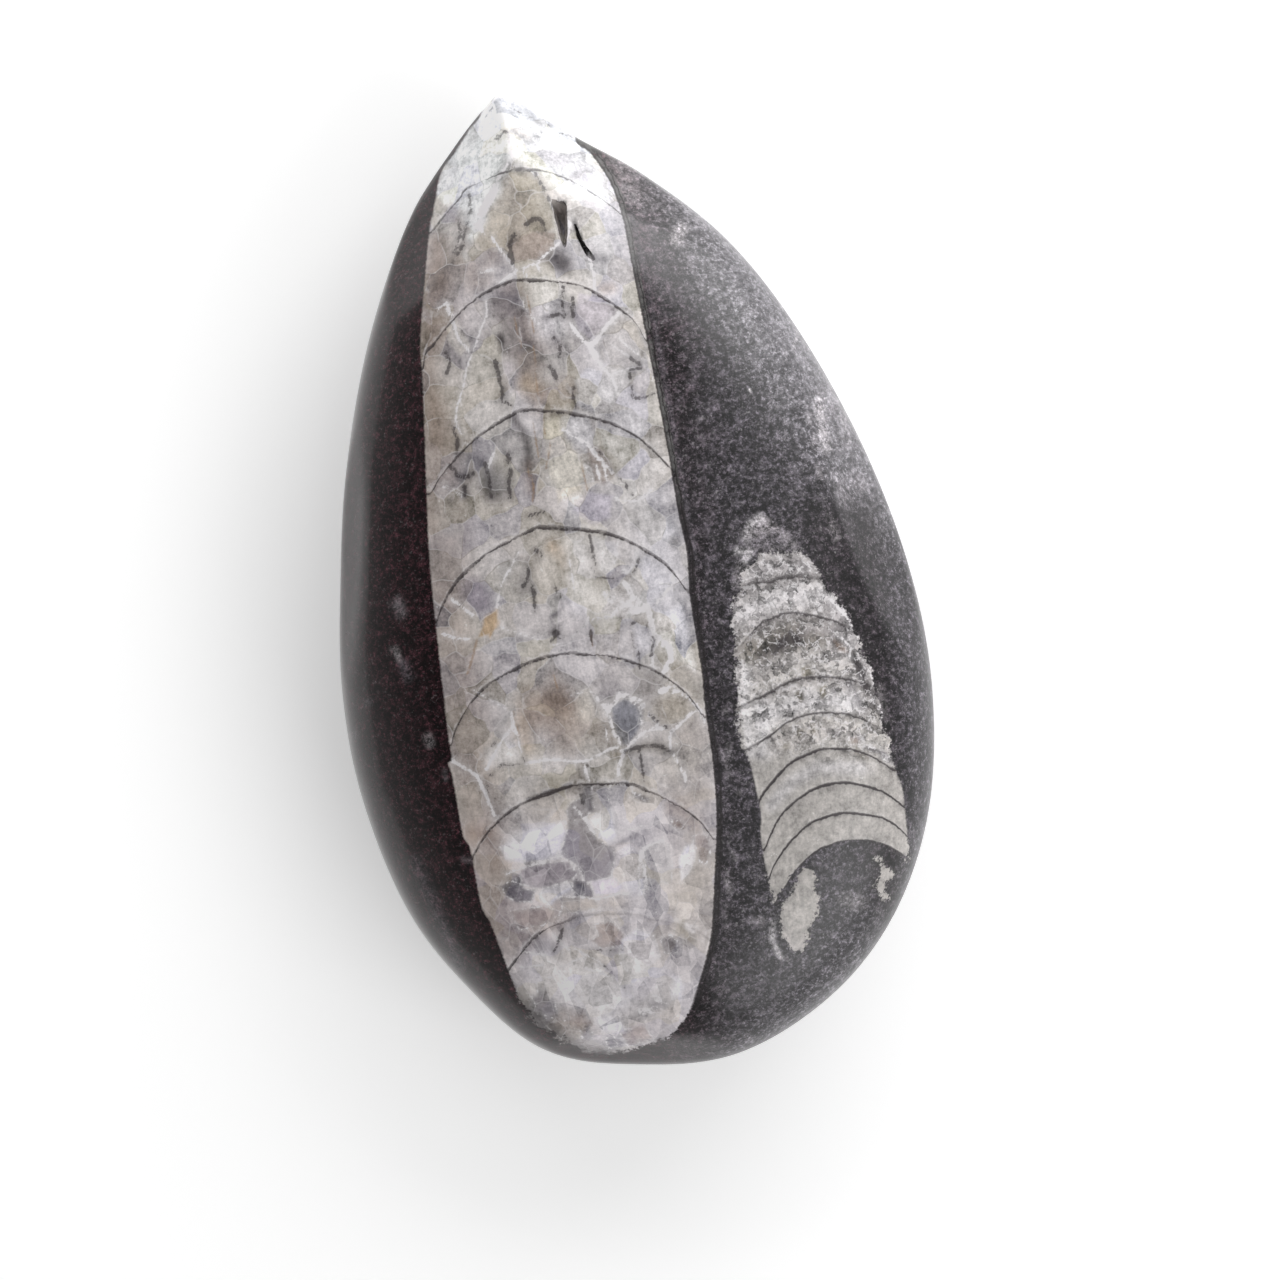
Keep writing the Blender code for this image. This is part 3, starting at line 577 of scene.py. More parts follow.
WHITE_VEINS_AND_HIGHLIGHTS = (
    (0.08, (-1.5, -1.5), (1, -3.4), (2.9, -4.6)), (0.09, (1, -0.1), (2, 0.6), (2.9, 2.2)),
    (0.07, (0.6, 0.3), (3.2, 0.9)), (0.22, (0.8, -0.8), (1.4, -2.6), (2.9, -4), (1.2, -4.4)),
    (0.18, (2.9, -4), (2.7, -6), (3.1, -7.4), (4.3, -9.5)),
    (0.12, (4.3, -9.5), (3.1, -11.2), (2, -10.4), (2.7, -8)), (0.1, (1.4, -2.6), (0.6, -3.4), (-1.6, -4)),
    (0.11, (2.1, -13.2), (4.2, -13.6), (5.9, -15.1), (6.5, -17.4)),
    (0.1, (-3.4, -17), (-3.5, -14), (-1.7, -12.6), (0.3, -13.8), (0.7, -15.6), (2.1, -17.3)),
    (0.13, (-21, -16.2), (-18.7, -18.2), (-18.1, -20.5), (-17.7, -22.8)),
    (0.14, (22.3, -7), (23.7, -9.2), (24.4, -11.5), (24.7, -13.2)),
    (0.12, (24.6, -14.5), (25.2, -17), (25.3, -21)), (0.1, (22.6, -11.2), (23.4, -12.4), (23, -13.4)),
    # The tip's ridge and the arms of its chevron: painted highlights along the ground arrises.
    (0.1, (-2.2, 49), (-2.2, 47.8), (-2.3, 46.4)),
    (0.12, (-2.4, 46.4), (-1, 45), (0, 43.9), (1.8, 42), (2.8, 41.4)), (0.14, (-2.4, 46.4), (-3.6, 44.9)),
    (0.24, (-3.7, 44.7), (-5, 43.1)), (0.42, (-4.9, 43), (-6.5, 41.3)), (0.26, (-6.4, 41.2), (-7.7, 39.6)),
    (0.14, (5.2, 39.5), (6.2, 39.2), (7.3, 38.6)),
    (0.08, (-7.7, 39.3), (-6.2, 38.5), (-5.7, 37.3), (-5.2, 36.3), (-4.5, 34.8), (-4.3, 34.3)),
    (0.08, (-4.3, 34.3), (-3.7, 34.3), (-3.3, 33.5), (-2.7, 32.8)),
    (0.07, (-3.7, 34.3), (-1.8, 34.6), (-1.7, 33.8)), (0.07, (-1.8, 34.6), (-0.5, 35.5), (1, 36.3)),
    (0.07, (-6.7, 34.8), (-8, 34.7)), (0.1, (3.8, 34.5), (3.9, 32), (3.7, 30.5)),
    (0.12, (2.4, 38.6), (2.2, 37.2), (1.7, 36.6)), (0.14, (0.4, 27.5), (1.5, 25.3), (2.3, 24.8)),
    (0.14, (2.3, 24.8), (2.9, 25.3), (4.2, 26.5), (5.8, 27.7)), (0.28, (2.1, 25), (2.2, 24.2), (2.4, 23.6)),
    (0.11, (2.5, 23), (3.3, 21.7), (3.8, 20.5), (4.1, 19)),
    (0.03, (-7.9, 31.9), (-8.2, 30.2), (-9, 29), (-10.2, 26.9), (-11.3, 25.2), (-12.3, 22.7),
     (-13.3, 20.9), (-13.7, 19.6), (-13.4, 18.2), (-12.9, 16.9)),
    (0.1, (-12.2, 31.6), (-11.6, 28), (-10.8, 26.6)), (0.08, (-4.2, 30.8), (-3.5, 29), (-3, 28.2)),
    (0.1, (-6.2, 33.2), (-5.2, 33.7), (-4.2, 34.2)), (0.03, (4, 21.4), (5.6, 21.6), (7.3, 21.5)),
    (0.03, (5.2, 25), (7.4, 22.2)), (0.02, (4.4, 24.4), (6.8, 22)),
    (0.08, (-14.8, 31.2), (-12.2, 32.2), (-11.8, 30.8)), (0.09, (-2.5, 16.5), (-0.2, 14.4), (0.6, 12.6)),
    (0.1, (-0.2, 14.6), (0.4, 13.2), (1.2, 12.1), (2.1, 10.5)), (0.07, (-0.8, 12), (-0.4, 10.4)),
    (0.07, (0.1, 12.2), (0.5, 10.2)), (0.07, (0.9, 12), (1.3, 10)),
    (0.1, (1.6, 8.1), (3.9, 7.4), (5.5, 8.3)), (0.08, (-10.2, 15.6), (-11.4, 13.8)),
    (0.08, (-16.4, 13), (-14.5, 11.6)), (0.08, (1, 3.5), (0.2, 1.3)),
    (0.11, (3.6, -3.8), (5.5, -2.4), (6.3, -1.1)),
    (0.11, (2.8, -3.8), (3, -5.4), (2.9, -6.5), (3.6, -7.5), (4.4, -8.7), (4.3, -10.2), (3, -11.4)),
    (0.1, (-17.7, 0.9), (-16.6, -0.4), (-15.8, -1.3)), (0.08, (-19.5, -2.6), (-18, -3.4), (-16.5, -3.8)),
    (0.04, (-9.7, 4.5), (-12.3, 1.3), (-13.1, -0.9)), (0.02, (-13.2, -3.1), (-10.4, -4.6), (-7.8, -6.2)),
    (0.03, (-7.9, -6.1), (-6.2, -5.8), (-4.4, -4.7), (-1.8, -4.1)), (0.02, (-1.5, -4.5), (-1.7, -7.7)),
    (0.03, (-4.6, 2.8), (-4.5, -2.5), (-3.8, -3.7), (-1.8, -4.1), (2.6, -4.4)),
    (0.03, (-17.2, -9.2), (-14.3, -11.8)),
    (0.03, (-7.3, -11.8), (-5.3, -11.5), (-3.9, -13.6), (-4.4, -18.2)),
    (0.03, (-13.8, -12.1), (-13.5, -16.8)), (0.1, (-1.9, -2), (-0.6, -3), (0.8, -4.4)),
    (0.1, (-4.9, -11.6), (-4.1, -13.3), (-2.9, -13.7), (-1.9, -12.3), (-0.8, -13.5), (0, -14.5),
     (-0.2, -16.8)), (0.08, (-3.3, -15.9), (-2.9, -17.8)),
    (0.11, (-2.7, -18.8), (-1.6, -17.9), (-0.2, -17.1), (1.2, -16.9), (2.7, -17.6)),
    (0.12, (2.3, -12.9), (3.9, -12.9), (5.3, -14.5), (6.2, -15.9)),
    (0.1, (5.5, -15.9), (3.5, -17.2), (2.5, -17.6), (2.3, -19.6), (2.7, -20.9), (3.2, -22.1), (3.2, -23.3)),
    (0.09, (-3.3, -19.7), (-3.8, -21.1)),
    (0.09, (-4.2, -18.2), (-3.5, -18.1), (-2.7, -18.8), (-3.3, -19.7)),
    (0.1, (-13.3, -18), (-10.9, -18), (-8.8, -18.5), (-7, -19), (-7.1, -20.1), (-7, -21.3)),
    (0.08, (-7, -19), (-5.6, -18.6), (-4.3, -18.3)), (0.1, (-14.2, -14), (-15.5, -15.2), (-17.6, -17.8)),
    (0.1, (-13.8, -12), (-13.9, -14), (-13.5, -15)),
    (0.05, (-11.7, -32.9), (-9.6, -33.4), (-8.2, -33.8), (-6, -33.6), (-5.1, -33.8)),
    (0.04, (-17.5, -29.2), (-14.6, -28.8), (-11.6, -28.4), (-10.2, -29.6)),
    (0.05, (-0.4, -28.9), (-2.8, -29.3), (-3.5, -31.5), (-4, -34.4)),
    (0.04, (-17.8, -37.6), (-15.2, -38.6)), (0.04, (-18.2, -39.4), (-15.5, -39.6)),
    (0.04, (-17.6, -41.5), (-14.4, -41)), (0.05, (-12, -38.5), (-9.6, -40.4), (-7.6, -43.4)),
    (0.04, (-11.2, -40.8), (-8.7, -42.2), (-7.2, -44.6)), (0.04, (-13.6, -43.4), (-10, -45)),
    (0.05, (-6.4, -45.6), (-4, -45)), (0.04, (-13.9, -36.6), (-12.6, -38.6)),
    (0.11, (-9, -23.6), (-8.1, -25.2), (-7.6, -26.4)), (0.1, (-2.7, -29.5), (-3.1, -33.4)),
)
RUST_LINES = (
    (0.1, (-3.6, 31.3), (-3.6, 29), (-3.6, 27.3)), (0.09, (-3.9, 26), (-4.2, 23), (-4.5, 20.5)),
    (0.09, (-4.3, 18.2), (-4.5, 16.5), (-4.2, 15), (-5.2, 12.5)), (0.09, (-5.4, 29.5), (-5.2, 26)),
    (0.08, (-5.6, 18), (-5.6, 14)), (0.1, (-3.8, -5), (-3.8, -7)),
    (0.12, (-7, 13), (-6.8, 11), (-7.2, 9.5)), (0.1, (-1.3, 12.5), (-1.2, 9.5)),
    (0.09, (-13.6, -12.2), (-13.4, -15)), (0.1, (-8.6, -9), (-8.4, -10.8)),
    (0.12, (-15.9, -3.9), (-16.5, -5.2), (-17.6, -7.3)),
)

# Pale fossil scraps in the dark limestone, and painted sheen along the right flank and by the tip's right
# facet: colour, strength, half-width, softness, points.
SCRAPS_AND_SHEEN = (
    ("grey", 0.5, 0.55, 0.5, (-23.5, 1.6), (-23.4, 0.4)),
    ("mid", 0.7, 0.28, 0.3, (-24.7, -3.2), (-24.5, -4.4)),
    ("slate", 0.5, 0.5, 0.6, (-24.2, -5), (-24, -6.4)), ("slate", 0.45, 0.4, 0.4, (-28.6, -8.3)),
    ("mid", 0.6, 0.45, 0.4, (-23.1, -13.2), (-23, -13.9)), ("slate", 0.45, 0.4, 0.5, (-31, -11.5)),
    ("slate", 0.45, 0.5, 0.7, (-27, -26), (-25.9, -31), (-24.5, -38)),
    ("grey", 0.35, 0.2, 0.3, (-22, -17), (-22.1, -18)),
    ("grey", 0.4, 0.25, 0.4, (-21.8, -26.8), (-20.9, -27.2)),
    # Along the right flank's arris and on its facet: pale scraps partly, painted sheen partly.
    ("mid", 0.75, 0.5, 0.45, (25, 14.2), (24.8, 11), (24.9, 9.2)),
    ("mid", 0.6, 0.1, 0.2, (23.8, 14), (23.7, 9), (23.8, 5), (24.1, 1.5), (24.2, -0.7)),
    ("grey", 0.4, 0.6, 0.9, (26, 15), (26.4, 13)), ("mid", 0.45, 0.3, 0.7, (27.3, 12.2), (27.2, 9.2)),
    ("grey", 0.6, 0.5, 0.7, (27.2, 5.6), (28, 4.2)), ("grey", 0.55, 0.6, 1, (25.4, 5.6), (26, 3.6)),
    # The arris line's upper end is a pale scrap partly, painted sheen partly; the mark by the tip's right
    # facet is painted sheen.
    ("mid", 0.6, 0.12, 0.2, (23.5, 20.5), (24.3, 22)), ("mid", 0.5, 0.9, 1.6, (8.6, 44.5), (9.4, 40)),
    ("slate", 0.35, 0.7, 1.5, (10, 43.4), (13.6, 39.6), (17.2, 35.3)),
    ("mid", 0.9, 0.6, 0.5, (13.4, 34.4), (14.1, 35.2)),
    ("pale", 0.9, 0.3, 0.7, (14.7, 1.4), (15.5, 2.6), (16.5, 3.1)),
    ("mid", 0.9, 0.6, 0.8, (15.6, 1.9), (16.9, 2)),
    ("mid", 0.7, 0.2, 0.5, (16.8, 2.9), (18, 1.6), (19.6, -0.6)),
    ("pale", 0.9, 0.25, 0.5, (13.4, 0.1), (14.8, -0.2), (14, -1)),
    ("grey", 0.6, 0.8, 1.2, (15.5, 0.4), (18.4, 0.2)), ("mid", 0.6, 0.3, 0.6, (13.4, -1.4), (12.6, -3.4)),
    # The first mark here, by the tip's right facet, is painted sheen.
    ("grey", 0.5, 0.5, 0.7, (8.8, 41), (9.9, 38)), ("mid", 0.35, 0.1, 0.15, (11.8, 14.8), (13.2, 14.8)),
    ("grey", 0.25, 0.08, 0.2, (9.2, 16.4), (18.3, 16.2)), ("white", 0.9, 0.14, 0.15, (18, 16.8)),
    ("pale", 0.6, 0.25, 0.3, (9.5, -39.8), (9.1, -41.7), (9.6, -43.6)),
    ("mid", 0.5, 0.4, 0.4, (8.3, -39.3)), ("mid", 0.5, 0.25, 0.3, (8.9, -16.5)),
    ("slate", 0.55, 0.2, 0.45, (9.1, 39), (9.3, 30), (9.2, 20), (9, 8), (8.8, 0)),
    ("slate", 0.3, 1.2, 1.4, (10.4, 37), (10.6, 27)), ("grey", 0.6, 0.3, 0.5, (7.7, -21), (7.9, -23.2)),
    ("mid", 0.5, 0.15, 0.25, (8.4, -20.3), (8.5, -21.6)),
    ("mid", 0.5, 0.15, 0.3, (6.6, -31.6), (6.9, -32.4)),
    ("mid", 0.6, 0.25, 0.3, (5.6, -34.4), (5.7, -35.6)), ("grey", 0.5, 0.2, 0.45, (4.9, -37), (4.6, -39.6)),
    ("grey", 0.5, 0.4, 0.5, (7.4, -39.2), (8.4, -39.6)), ("mid", 0.4, 0.25, 0.3, (8.5, -25.5)),
    ("grey", 0.5, 0.2, 0.4, (5.7, -33.7), (5.6, -35.4)), ("grey", 0.5, 0.4, 0.4, (4.7, -51.4)),
    ("mid", 0.5, 0.7, 0.8, (17.8, -39), (19, -39.4)), ("mid", 0.5, 0.2, 0.3, (25.4, -17), (25.6, -21)),
)


# ---------------------------------------------------------------- painting the stone's vertices

OUTSIDE = -99.0  # a depth outside every stroke, in mm
NO_LINE, LINE_REACH = -2.0, 2.5  # depth away from the fine lines, and how far round them it changes
COVER, GRAIN_EDGE = 0.88, 0.16  # how much of the stain a grain hides, and its edge's softness in mm


def line_depth(place, points, half_width):
    """How far inside a stroke each place is, in mm; negative outside."""
    points = np.array(points, float)
    if len(points) == 1:
        return half_width - np.linalg.norm(place - points[0], axis=1)
    depth = np.full(len(place), OUTSIDE)
    for a, b in zip(points, points[1:]):
        along = b - a
        t = np.clip((place - a) @ along / max(along @ along, 1e-9), 0, 1)
        depth = np.maximum(depth, half_width - np.linalg.norm(place - a - t[:, None] * along, axis=1))
    return depth


def area_depth(place, corners):
    """How far inside a closed outline each place is, in mm; negative outside."""
    corners = np.array(corners, float)
    x, y = place.T
    inside = np.zeros(len(place), bool)
    for (ax, ay), (bx, by) in zip(corners, np.roll(corners, -1, axis=0)):
        if ay != by:
            inside ^= ((ay > y) != (by > y)) & (x < (bx - ax) * (y - ay) / (by - ay) + ax)
    away = -line_depth(place, [*corners, corners[0]], 0)
    return np.where(inside, away, -away)


def shell_depth(place, *sides):
    return area_depth(place, np.concatenate([smooth_points(side, 6) for side in sides]))


def near(place, points, reach):
    """Indices of the places within reach of the points' box."""
    points = np.array(points, float)
    low, high = points.min(0) - reach, points.max(0) + reach
    return np.flatnonzero(((place >= low) & (place <= high)).all(1))


def ease(depth, softness):
    t = np.clip(0.5 + 0.5 * depth / softness, 0, 1)
    return t * t * (3 - 2 * t)


def growth(place, septa):
    """Chamber count from the first septum: whole at each septum, even between them."""
    heights = [np.interp(place[:, 0], *smooth_points(septum, 6).T) for septum in septa]
    y = place[:, 1]
    count = np.clip((heights[0] - y) / END_REACH, -0.45, 0)
    for i, (upper, lower) in enumerate(zip(heights, heights[1:])):
        count = np.where(y < upper, i + (upper - y) / (upper - lower), count)
    last = len(septa) - 1
    return np.where(y < heights[-1], last + np.clip((heights[-1] - y) / END_REACH, 0, 0.45), count)


class Canvas:
    """Paint held at the vertices of the stone, laid on in plan millimetres."""

    def __init__(self, mesh):
        points = np.empty(len(mesh.vertices) * 3)
        mesh.vertices.foreach_get("co", points)
        points = points.reshape(-1, 3) / MM
        self.mesh = mesh
        self.plan, self.z = points[:, :2], points[:, 2]
        # Marks are laid out as the eye sees them, so those on high ground draw in a little.
        rise = self.z - REST_DROP / MM
        self.place = EYE + (self.plan - EYE) * (EYE_HEIGHT / (EYE_HEIGHT - rise))[:, None]
        self.under = np.clip(REST_DROP / MM - self.z, 0, None)
        self.tint = np.tile(PALETTE["calcite"], (len(points), 1))

    def stain(self, colour, strength, half_width, softness, *points):
        here = near(self.place, points, half_width + softness)
        cover = strength * ease(line_depth(self.place[here], points, half_width), softness)[:, None]
        self.tint[here] += (PALETTE[colour] - self.tint[here]) * cover

    def crystal(self, colour, *corners):
        """A grain with plain faces, a little duller along its edge."""
        here = near(self.place, corners, 1)
        depth = area_depth(self.place[here], corners)[:, None]
        milky = 1.04 - 0.17 * ease(0.25 - depth, 0.45)
        cover = COVER * ease(depth, GRAIN_EDGE)
        self.tint[here] += (PALETTE[colour] * milky - self.tint[here]) * cover

    def lines(self, strokes):
        depth = np.full(len(self.place), NO_LINE)
        for half_width, *points in strokes:
            here = near(self.place, points, LINE_REACH)
            depth[here] = np.maximum(depth[here], line_depth(self.place[here], points, half_width))
        return depth

    def paint_pit_shade(self):
        """Blackens what lies in a pit as painted shade, with a few pale crystals on its walls."""
        sunk = np.zeros(len(self.place), bool)
        for mouth in (VUG_MOUTH, SEAM_MOUTH):
            within = area_depth(self.plan, smooth_points([*mouth, mouth[0]], 3)) > -0.05
            sunk |= within & (self.z > 20) & (self.z < self.z[within & (self.z > 12)].max() - 0.25)
        glint = np.random.default_rng(3).random(sunk.sum()) ** 3
        self.tint[sunk] = PALETTE["black"] + (PALETTE["mid"] - PALETTE["black"]) * glint[:, None]
        return sunk

    def keep(self, name, kind, values):
        layer = self.mesh.attributes.new(name, kind, "POINT")
        field = "color" if kind == "FLOAT_COLOR" else "vector"
        layer.data.foreach_set(field, values.astype(np.float32).ravel())


def paint_stone(mesh):
    """Tint, shell edges and fine lines, with painted highlights at the tip and painted shade in the pits,
    as attributes that the finish reads.
    """
    canvas = Canvas(mesh)
    place = canvas.place
    big = shell_depth(place, BIG_LEFT, BIG_RIGHT[::-1])
    small = shell_depth(place, SMALL_LEFT, SMALL_SEPTA[-1], SMALL_RIGHT[::-1])
    spar = np.max([area_depth(place, corners) for corners in BODY_CALCITE], axis=0)
    edge = np.max([big, small, spar], axis=0) - 0.25 * canvas.under**2
    in_big = big > small
    count = np.where(in_big, growth(place, BIG_SEPTA), growth(place, SMALL_SEPTA))
    chamber = np.where(in_big, BIG_CHAMBER, SMALL_CHAMBER)
    # The tip's white spar, with a painted highlight on its facets, goes down first.
    canvas.crystal("bright", *TIP_SPAR_AND_HIGHLIGHT)
    for stain in STAINS:
        canvas.stain(*stain)
    for crystal in CRYSTALS:
        canvas.crystal(*crystal)
    # Pits are blackened as painted shade.
    sunk = canvas.paint_pit_shade()
    canvas.keep("shells", "FLOAT_VECTOR", np.column_stack([edge, count, chamber]))
    facets = tuple((-0.03, *corners, corners[0]) for _, *corners in CRYSTALS if corners[0][1] < -21)
    # The pale lines carry white veins and the painted highlights on the tip's arrises.
    drawn = [canvas.lines(strokes) for strokes in (DARK_LINES, WHITE_VEINS_AND_HIGHLIGHTS + facets, RUST_LINES)]
    canvas.keep("lines", "FLOAT_VECTOR", np.column_stack(drawn))
    canvas.keep("tint", "FLOAT_COLOR", np.column_stack([canvas.tint, np.ones(len(place))]))
    canvas.tint[:] = 0
    # Pale scraps, with painted sheen on the right flank and by the tip.
    for scrap_mark in SCRAPS_AND_SHEEN:
        canvas.stain(*scrap_mark)
    top = ((canvas.under == 0) & ~sunk)[:, None]
    canvas.keep("scraps_and_sheen", "FLOAT_COLOR", np.column_stack([canvas.tint * top, np.ones(len(place))]))


# ---------------------------------------------------------------- the finish

class Value:
    """A number over the surface. Arithmetic on it adds Math nodes."""

    def __init__(self, finish, socket):
        self.finish, self.socket = finish, socket

    def math(self, operation, *others):
        return self.finish.node("Math", {"operation": operation}, *others)

    def __add__(self, other):
        return self.math("ADD", self, other)

    def __sub__(self, other):
        return self.math("SUBTRACT", self, other)

    def __rsub__(self, other):
        return self.math("SUBTRACT", other, self)

    def __mul__(self, other):
        return self.math("MULTIPLY", self, other)

    def __abs__(self):
        return self.math("ABSOLUTE", self)

    __radd__, __rmul__ = __add__, __mul__

    def ramp(self, low, high):
        """Smooth rise from 0 at low to 1 at high."""
        return self.finish.node("MapRange", {"interpolation_type": "SMOOTHSTEP"}, self, low, high)


class Finish:
    """One material's node tree."""

    def __init__(self, name):
        self.material = bpy.data.materials.new(name)
        self.material.use_nodes = True
        self.tree = self.material.node_tree
        self.shader = self.tree.nodes["Principled BSDF"]

    def node(self, kind, settings=None, *values, out=0, **named):
        made = self.tree.nodes.new("ShaderNode" + kind)
        for key, setting in (settings or {}).items():
            setattr(made, key, setting)
        sockets = [s for s in made.inputs if s.enabled]
        named = [(made.inputs[key], value) for key, value in named.items()]
        for socket, value in [*zip(sockets, values), *named]:
            if isinstance(value, Value):
                self.tree.links.new(value.socket, socket)
            else:
                socket.default_value = value
        return Value(self, [s for s in made.outputs if s.enabled][out])

    def feed(self, socket, value):
        self.tree.links.new(value.socket, self.shader.inputs[socket])

    def source(self, kind, out, **settings):
        """One output of a node that reads the piece."""
        return Value(self, self.node(kind, settings).socket.node.outputs[out])

    def attribute(self, name, out="Vector"):
        return self.source("Attribute", out, attribute_name=name)

    def parts(self, vector):
        split = self.node("SeparateXYZ", None, vector)
        return [Value(self, s) for s in split.socket.node.outputs]

    def mix(self, amount, a, b, blend="MIX"):
        """Blends two colours, each a field, plain numbers or a name from the palette."""
        a, b = (PALETTE[c] if isinstance(c, str) else c for c in (a, b))
        a, b = (c if isinstance(c, Value) else (*c, 1) for c in (a, b))
        settings = {"data_type": "RGBA", "blend_type": blend, "clamp_factor": True}
        return self.node("Mix", settings, amount, a, b)

    def shade(self, colour, red, green=None, blue=None):
        """The colour times a light, which is grey unless all three numbers are given."""
        light = self.node("CombineColor", None, red, green or red, blue or red)
        return self.mix(1.0, colour, light, "MULTIPLY")

    def noise(self, place, scale, detail=2.0, roughness=0.5):
        return self.node("TexNoise", None, place, Scale=scale, Detail=detail, Roughness=roughness)

    def cells(self, place, scale):
        """Three random numbers for each cell."""
        return self.parts(self.node("TexVoronoi", {"feature": "F1"}, place, Scale=scale, out=1))

    def cell_walls(self, place, scale):
        """How far the nearest wall between two cells is."""
        return self.node("TexVoronoi", {"feature": "DISTANCE_TO_EDGE"}, place, Scale=scale)

    def cell_hearts(self, place, scale):
        """How far the nearest cell's middle is."""
        return self.node("TexVoronoi", {"feature": "F1"}, place, Scale=scale)

    def tilted(self, place, turn, stretch):
        """The plan turned and stretched, for a pattern that runs askew."""
        return self.node("Mapping", None, place, Rotation=(0, 0, turn), Scale=(*stretch, 1.0))

    def warped(self, place, scale, detail, reach):
        """The plan pushed about by noise, for cells with bent walls."""
        drift = self.node("TexNoise", None, place, Scale=scale, Detail=detail, out=1)
        return self.node("VectorMath", {"operation": "MULTIPLY_ADD"}, drift, (reach,) * 3, place)


CRYSTAL_SCALE, BLOCK_SCALE, SHARD_SCALE, SUGAR_SCALE = 0.27, 0.46, 0.55, 1.3  # cells to the millimetre


def spar_colour(finish, plan, bent, ragged, cloud, shell):
    """Stained crystals of calcite, with their veins, painted highlights on the tip's arrises, ink and rust
    lines and the septa.
    """
    count, chamber, mosaic, crunch, inner = shell
    dark, white, rust = finish.parts(finish.attribute("lines"))
    skewed = finish.tilted(plan, 0.6, (1.25, 0.8))
    jagged = finish.warped(plan, 1.4, 2.0, 1.6)
    cell, block = finish.cells(bent, CRYSTAL_SCALE), finish.cells(skewed, BLOCK_SCALE)
    shard = finish.cells(finish.tilted(plan, -0.4, (1.3, 0.6)), SHARD_SCALE)
    sugar = finish.cells(jagged, SUGAR_SCALE)
    grain = finish.noise(plan, 3.6, 5, 0.8) - 0.5
    smoke = finish.noise(plan, 1.3, 4, 0.7) - 0.5
    fibre = finish.noise(finish.tilted(plan, 0.5, (2.6, 0.5)), 1.0, 3, 0.6) - 0.5
    seam, joint = finish.cell_walls(bent, CRYSTAL_SCALE), finish.cell_walls(skewed, BLOCK_SCALE)
    faint = finish.noise(plan, 0.3)

    # Big crystals above, a mosaic of blocks and shards below, sugary grains in the small shell.
    big = chamber.ramp(7, 9)
    upper = big * (1 - mosaic)
    light = (cell[0] - 0.5) * upper * 0.46 + (block[0] + shard[0] - 1) * mosaic * 0.56
    light = light + (cloud - 0.5) * (1.3 - mosaic * 0.4) + smoke * (1.6 - big * 0.6)
    light = light + (sugar[0] - 0.5) * crunch * 1.2 + grain * (crunch * 0.9 + 1.4 - mosaic * 0.3)
    light = light + fibre * (0.7 - mosaic * 0.3) + 1.09 + mosaic * 0.22
    light = light - seam.ramp(0.30, 0.0) * upper * faint.ramp(0.36, 0.52) * 0.20 + upper * 0.04
    light = light * (big * 0.14 + 0.86)
    warm = (cell[1] - 0.5) * big * 0.11 - mosaic * 0.02
    pink = (cell[2] - 0.5) * big * 0.02 + mosaic * 0.012
    spar = finish.attribute("tint", "Color")
    spar = finish.shade(spar, light + warm * 0.6, light + warm * 0.4 - pink, light - warm)

    # Their walls, flaws and glints.
    frost = (faint + smoke * 0.25).ramp(0.42, 0.56)
    spar = finish.mix(seam.ramp(0.024, 0.004) * frost * upper * 0.36, spar, "white")
    spar = finish.mix(seam.ramp(0.026, 0.0) * faint.ramp(0.46, 0.38) * upper * 0.40, spar, "olive")
    spar = finish.mix(joint.ramp(0.04, 0.0) * mosaic * frost * 0.3, spar, "white")
    flaw = (finish.cell_walls(jagged, 1.0) - smoke * 0.25).ramp(0.09, 0.01)
    spar = finish.mix(flaw * smoke.ramp(-0.06, 0.06) * crunch * 0.75, spar, "white")
    glint = finish.cell_hearts(jagged, 1.6).ramp(0.20, 0.04)
    spar = finish.mix(glint * cloud.ramp(0.50, 0.66) * 0.7, spar, "bright")

    # Rust lines, white veins and the painted highlights on the tip's arrises in a soft bloom, ink strokes
    # in a smoky halo.
    spar = finish.mix((rust + ragged * 0.4).ramp(-0.12, 0.1) * 0.6, spar, "rust")
    bloom = (white + smoke * 2.5).ramp(-0.8, 0.1) * 0.24
    veins_and_highlights = (white + ragged * 0.4 + smoke * 0.6).ramp(-0.13, 0.02)
    spar = finish.mix(veins_and_highlights * (cloud.ramp(0.36, 0.56) * 0.30 + 0.62) + bloom, spar, "white")
    halo = (dark + smoke * 3.0).ramp(-0.7, 0.25) * 0.28
    inked = (dark + ragged * 0.35 + smoke * 0.9).ramp(-0.13, 0.04) * 0.52
    spar = finish.mix(inked + halo, spar, "ink")

    # Septa: a dark line at each whole count, whitish above and greyish below.
    step = finish.node("Math", {"operation": "FRACT"}, count + 0.5) - 0.5
    step = step * chamber + ragged * 0.25 + smoke * 0.6
    above = step.ramp(-0.75, -0.30) * step.ramp(-0.06, -0.18) * (big * 0.6 + 0.4)
    spar = finish.mix(above * smoke.ramp(-0.08, 0.08) * 0.35, spar, "white")
    below = step.ramp(0.9, 0.1) * step.ramp(-0.1, 0.05)
    below = below * (smoke.ramp(-0.05, 0.1) * (1 - big) * 0.2 + 0.16)
    fourth = count.ramp(2.4, 2.6) * count.ramp(3.6, 3.4)
    thick = (faint - 0.44) * 0.5 - count.ramp(0.5, 0.3) * 0.05 + fourth * big * 0.07
    thick = thick * big + (1 - big) * (0.06 - crunch * 0.07)
    septum = (abs(step) - thick).ramp(0.19, 0.05)
    x = finish.parts(plan)[0]
    last = big * count.ramp(5.4, 5.6) * x.ramp(-14, -10) * (x.ramp(-8, -3) * 0.2 + 0.7)
    septum = septum * (smoke.ramp(0.10, -0.05) * 0.30 + (1 - big) * 0.24 + 0.45 - crunch * 0.20)
    septum = septum * (1 - last) * (1 - crunch * inner * (smoke.ramp(-0.1, 0.1) * 0.5 + 0.4))
    spar = finish.mix(septum + below, spar, "ink")
    return finish.node("VectorMath", {"operation": "MINIMUM"}, spar, BRIGHTEST_SPAR)


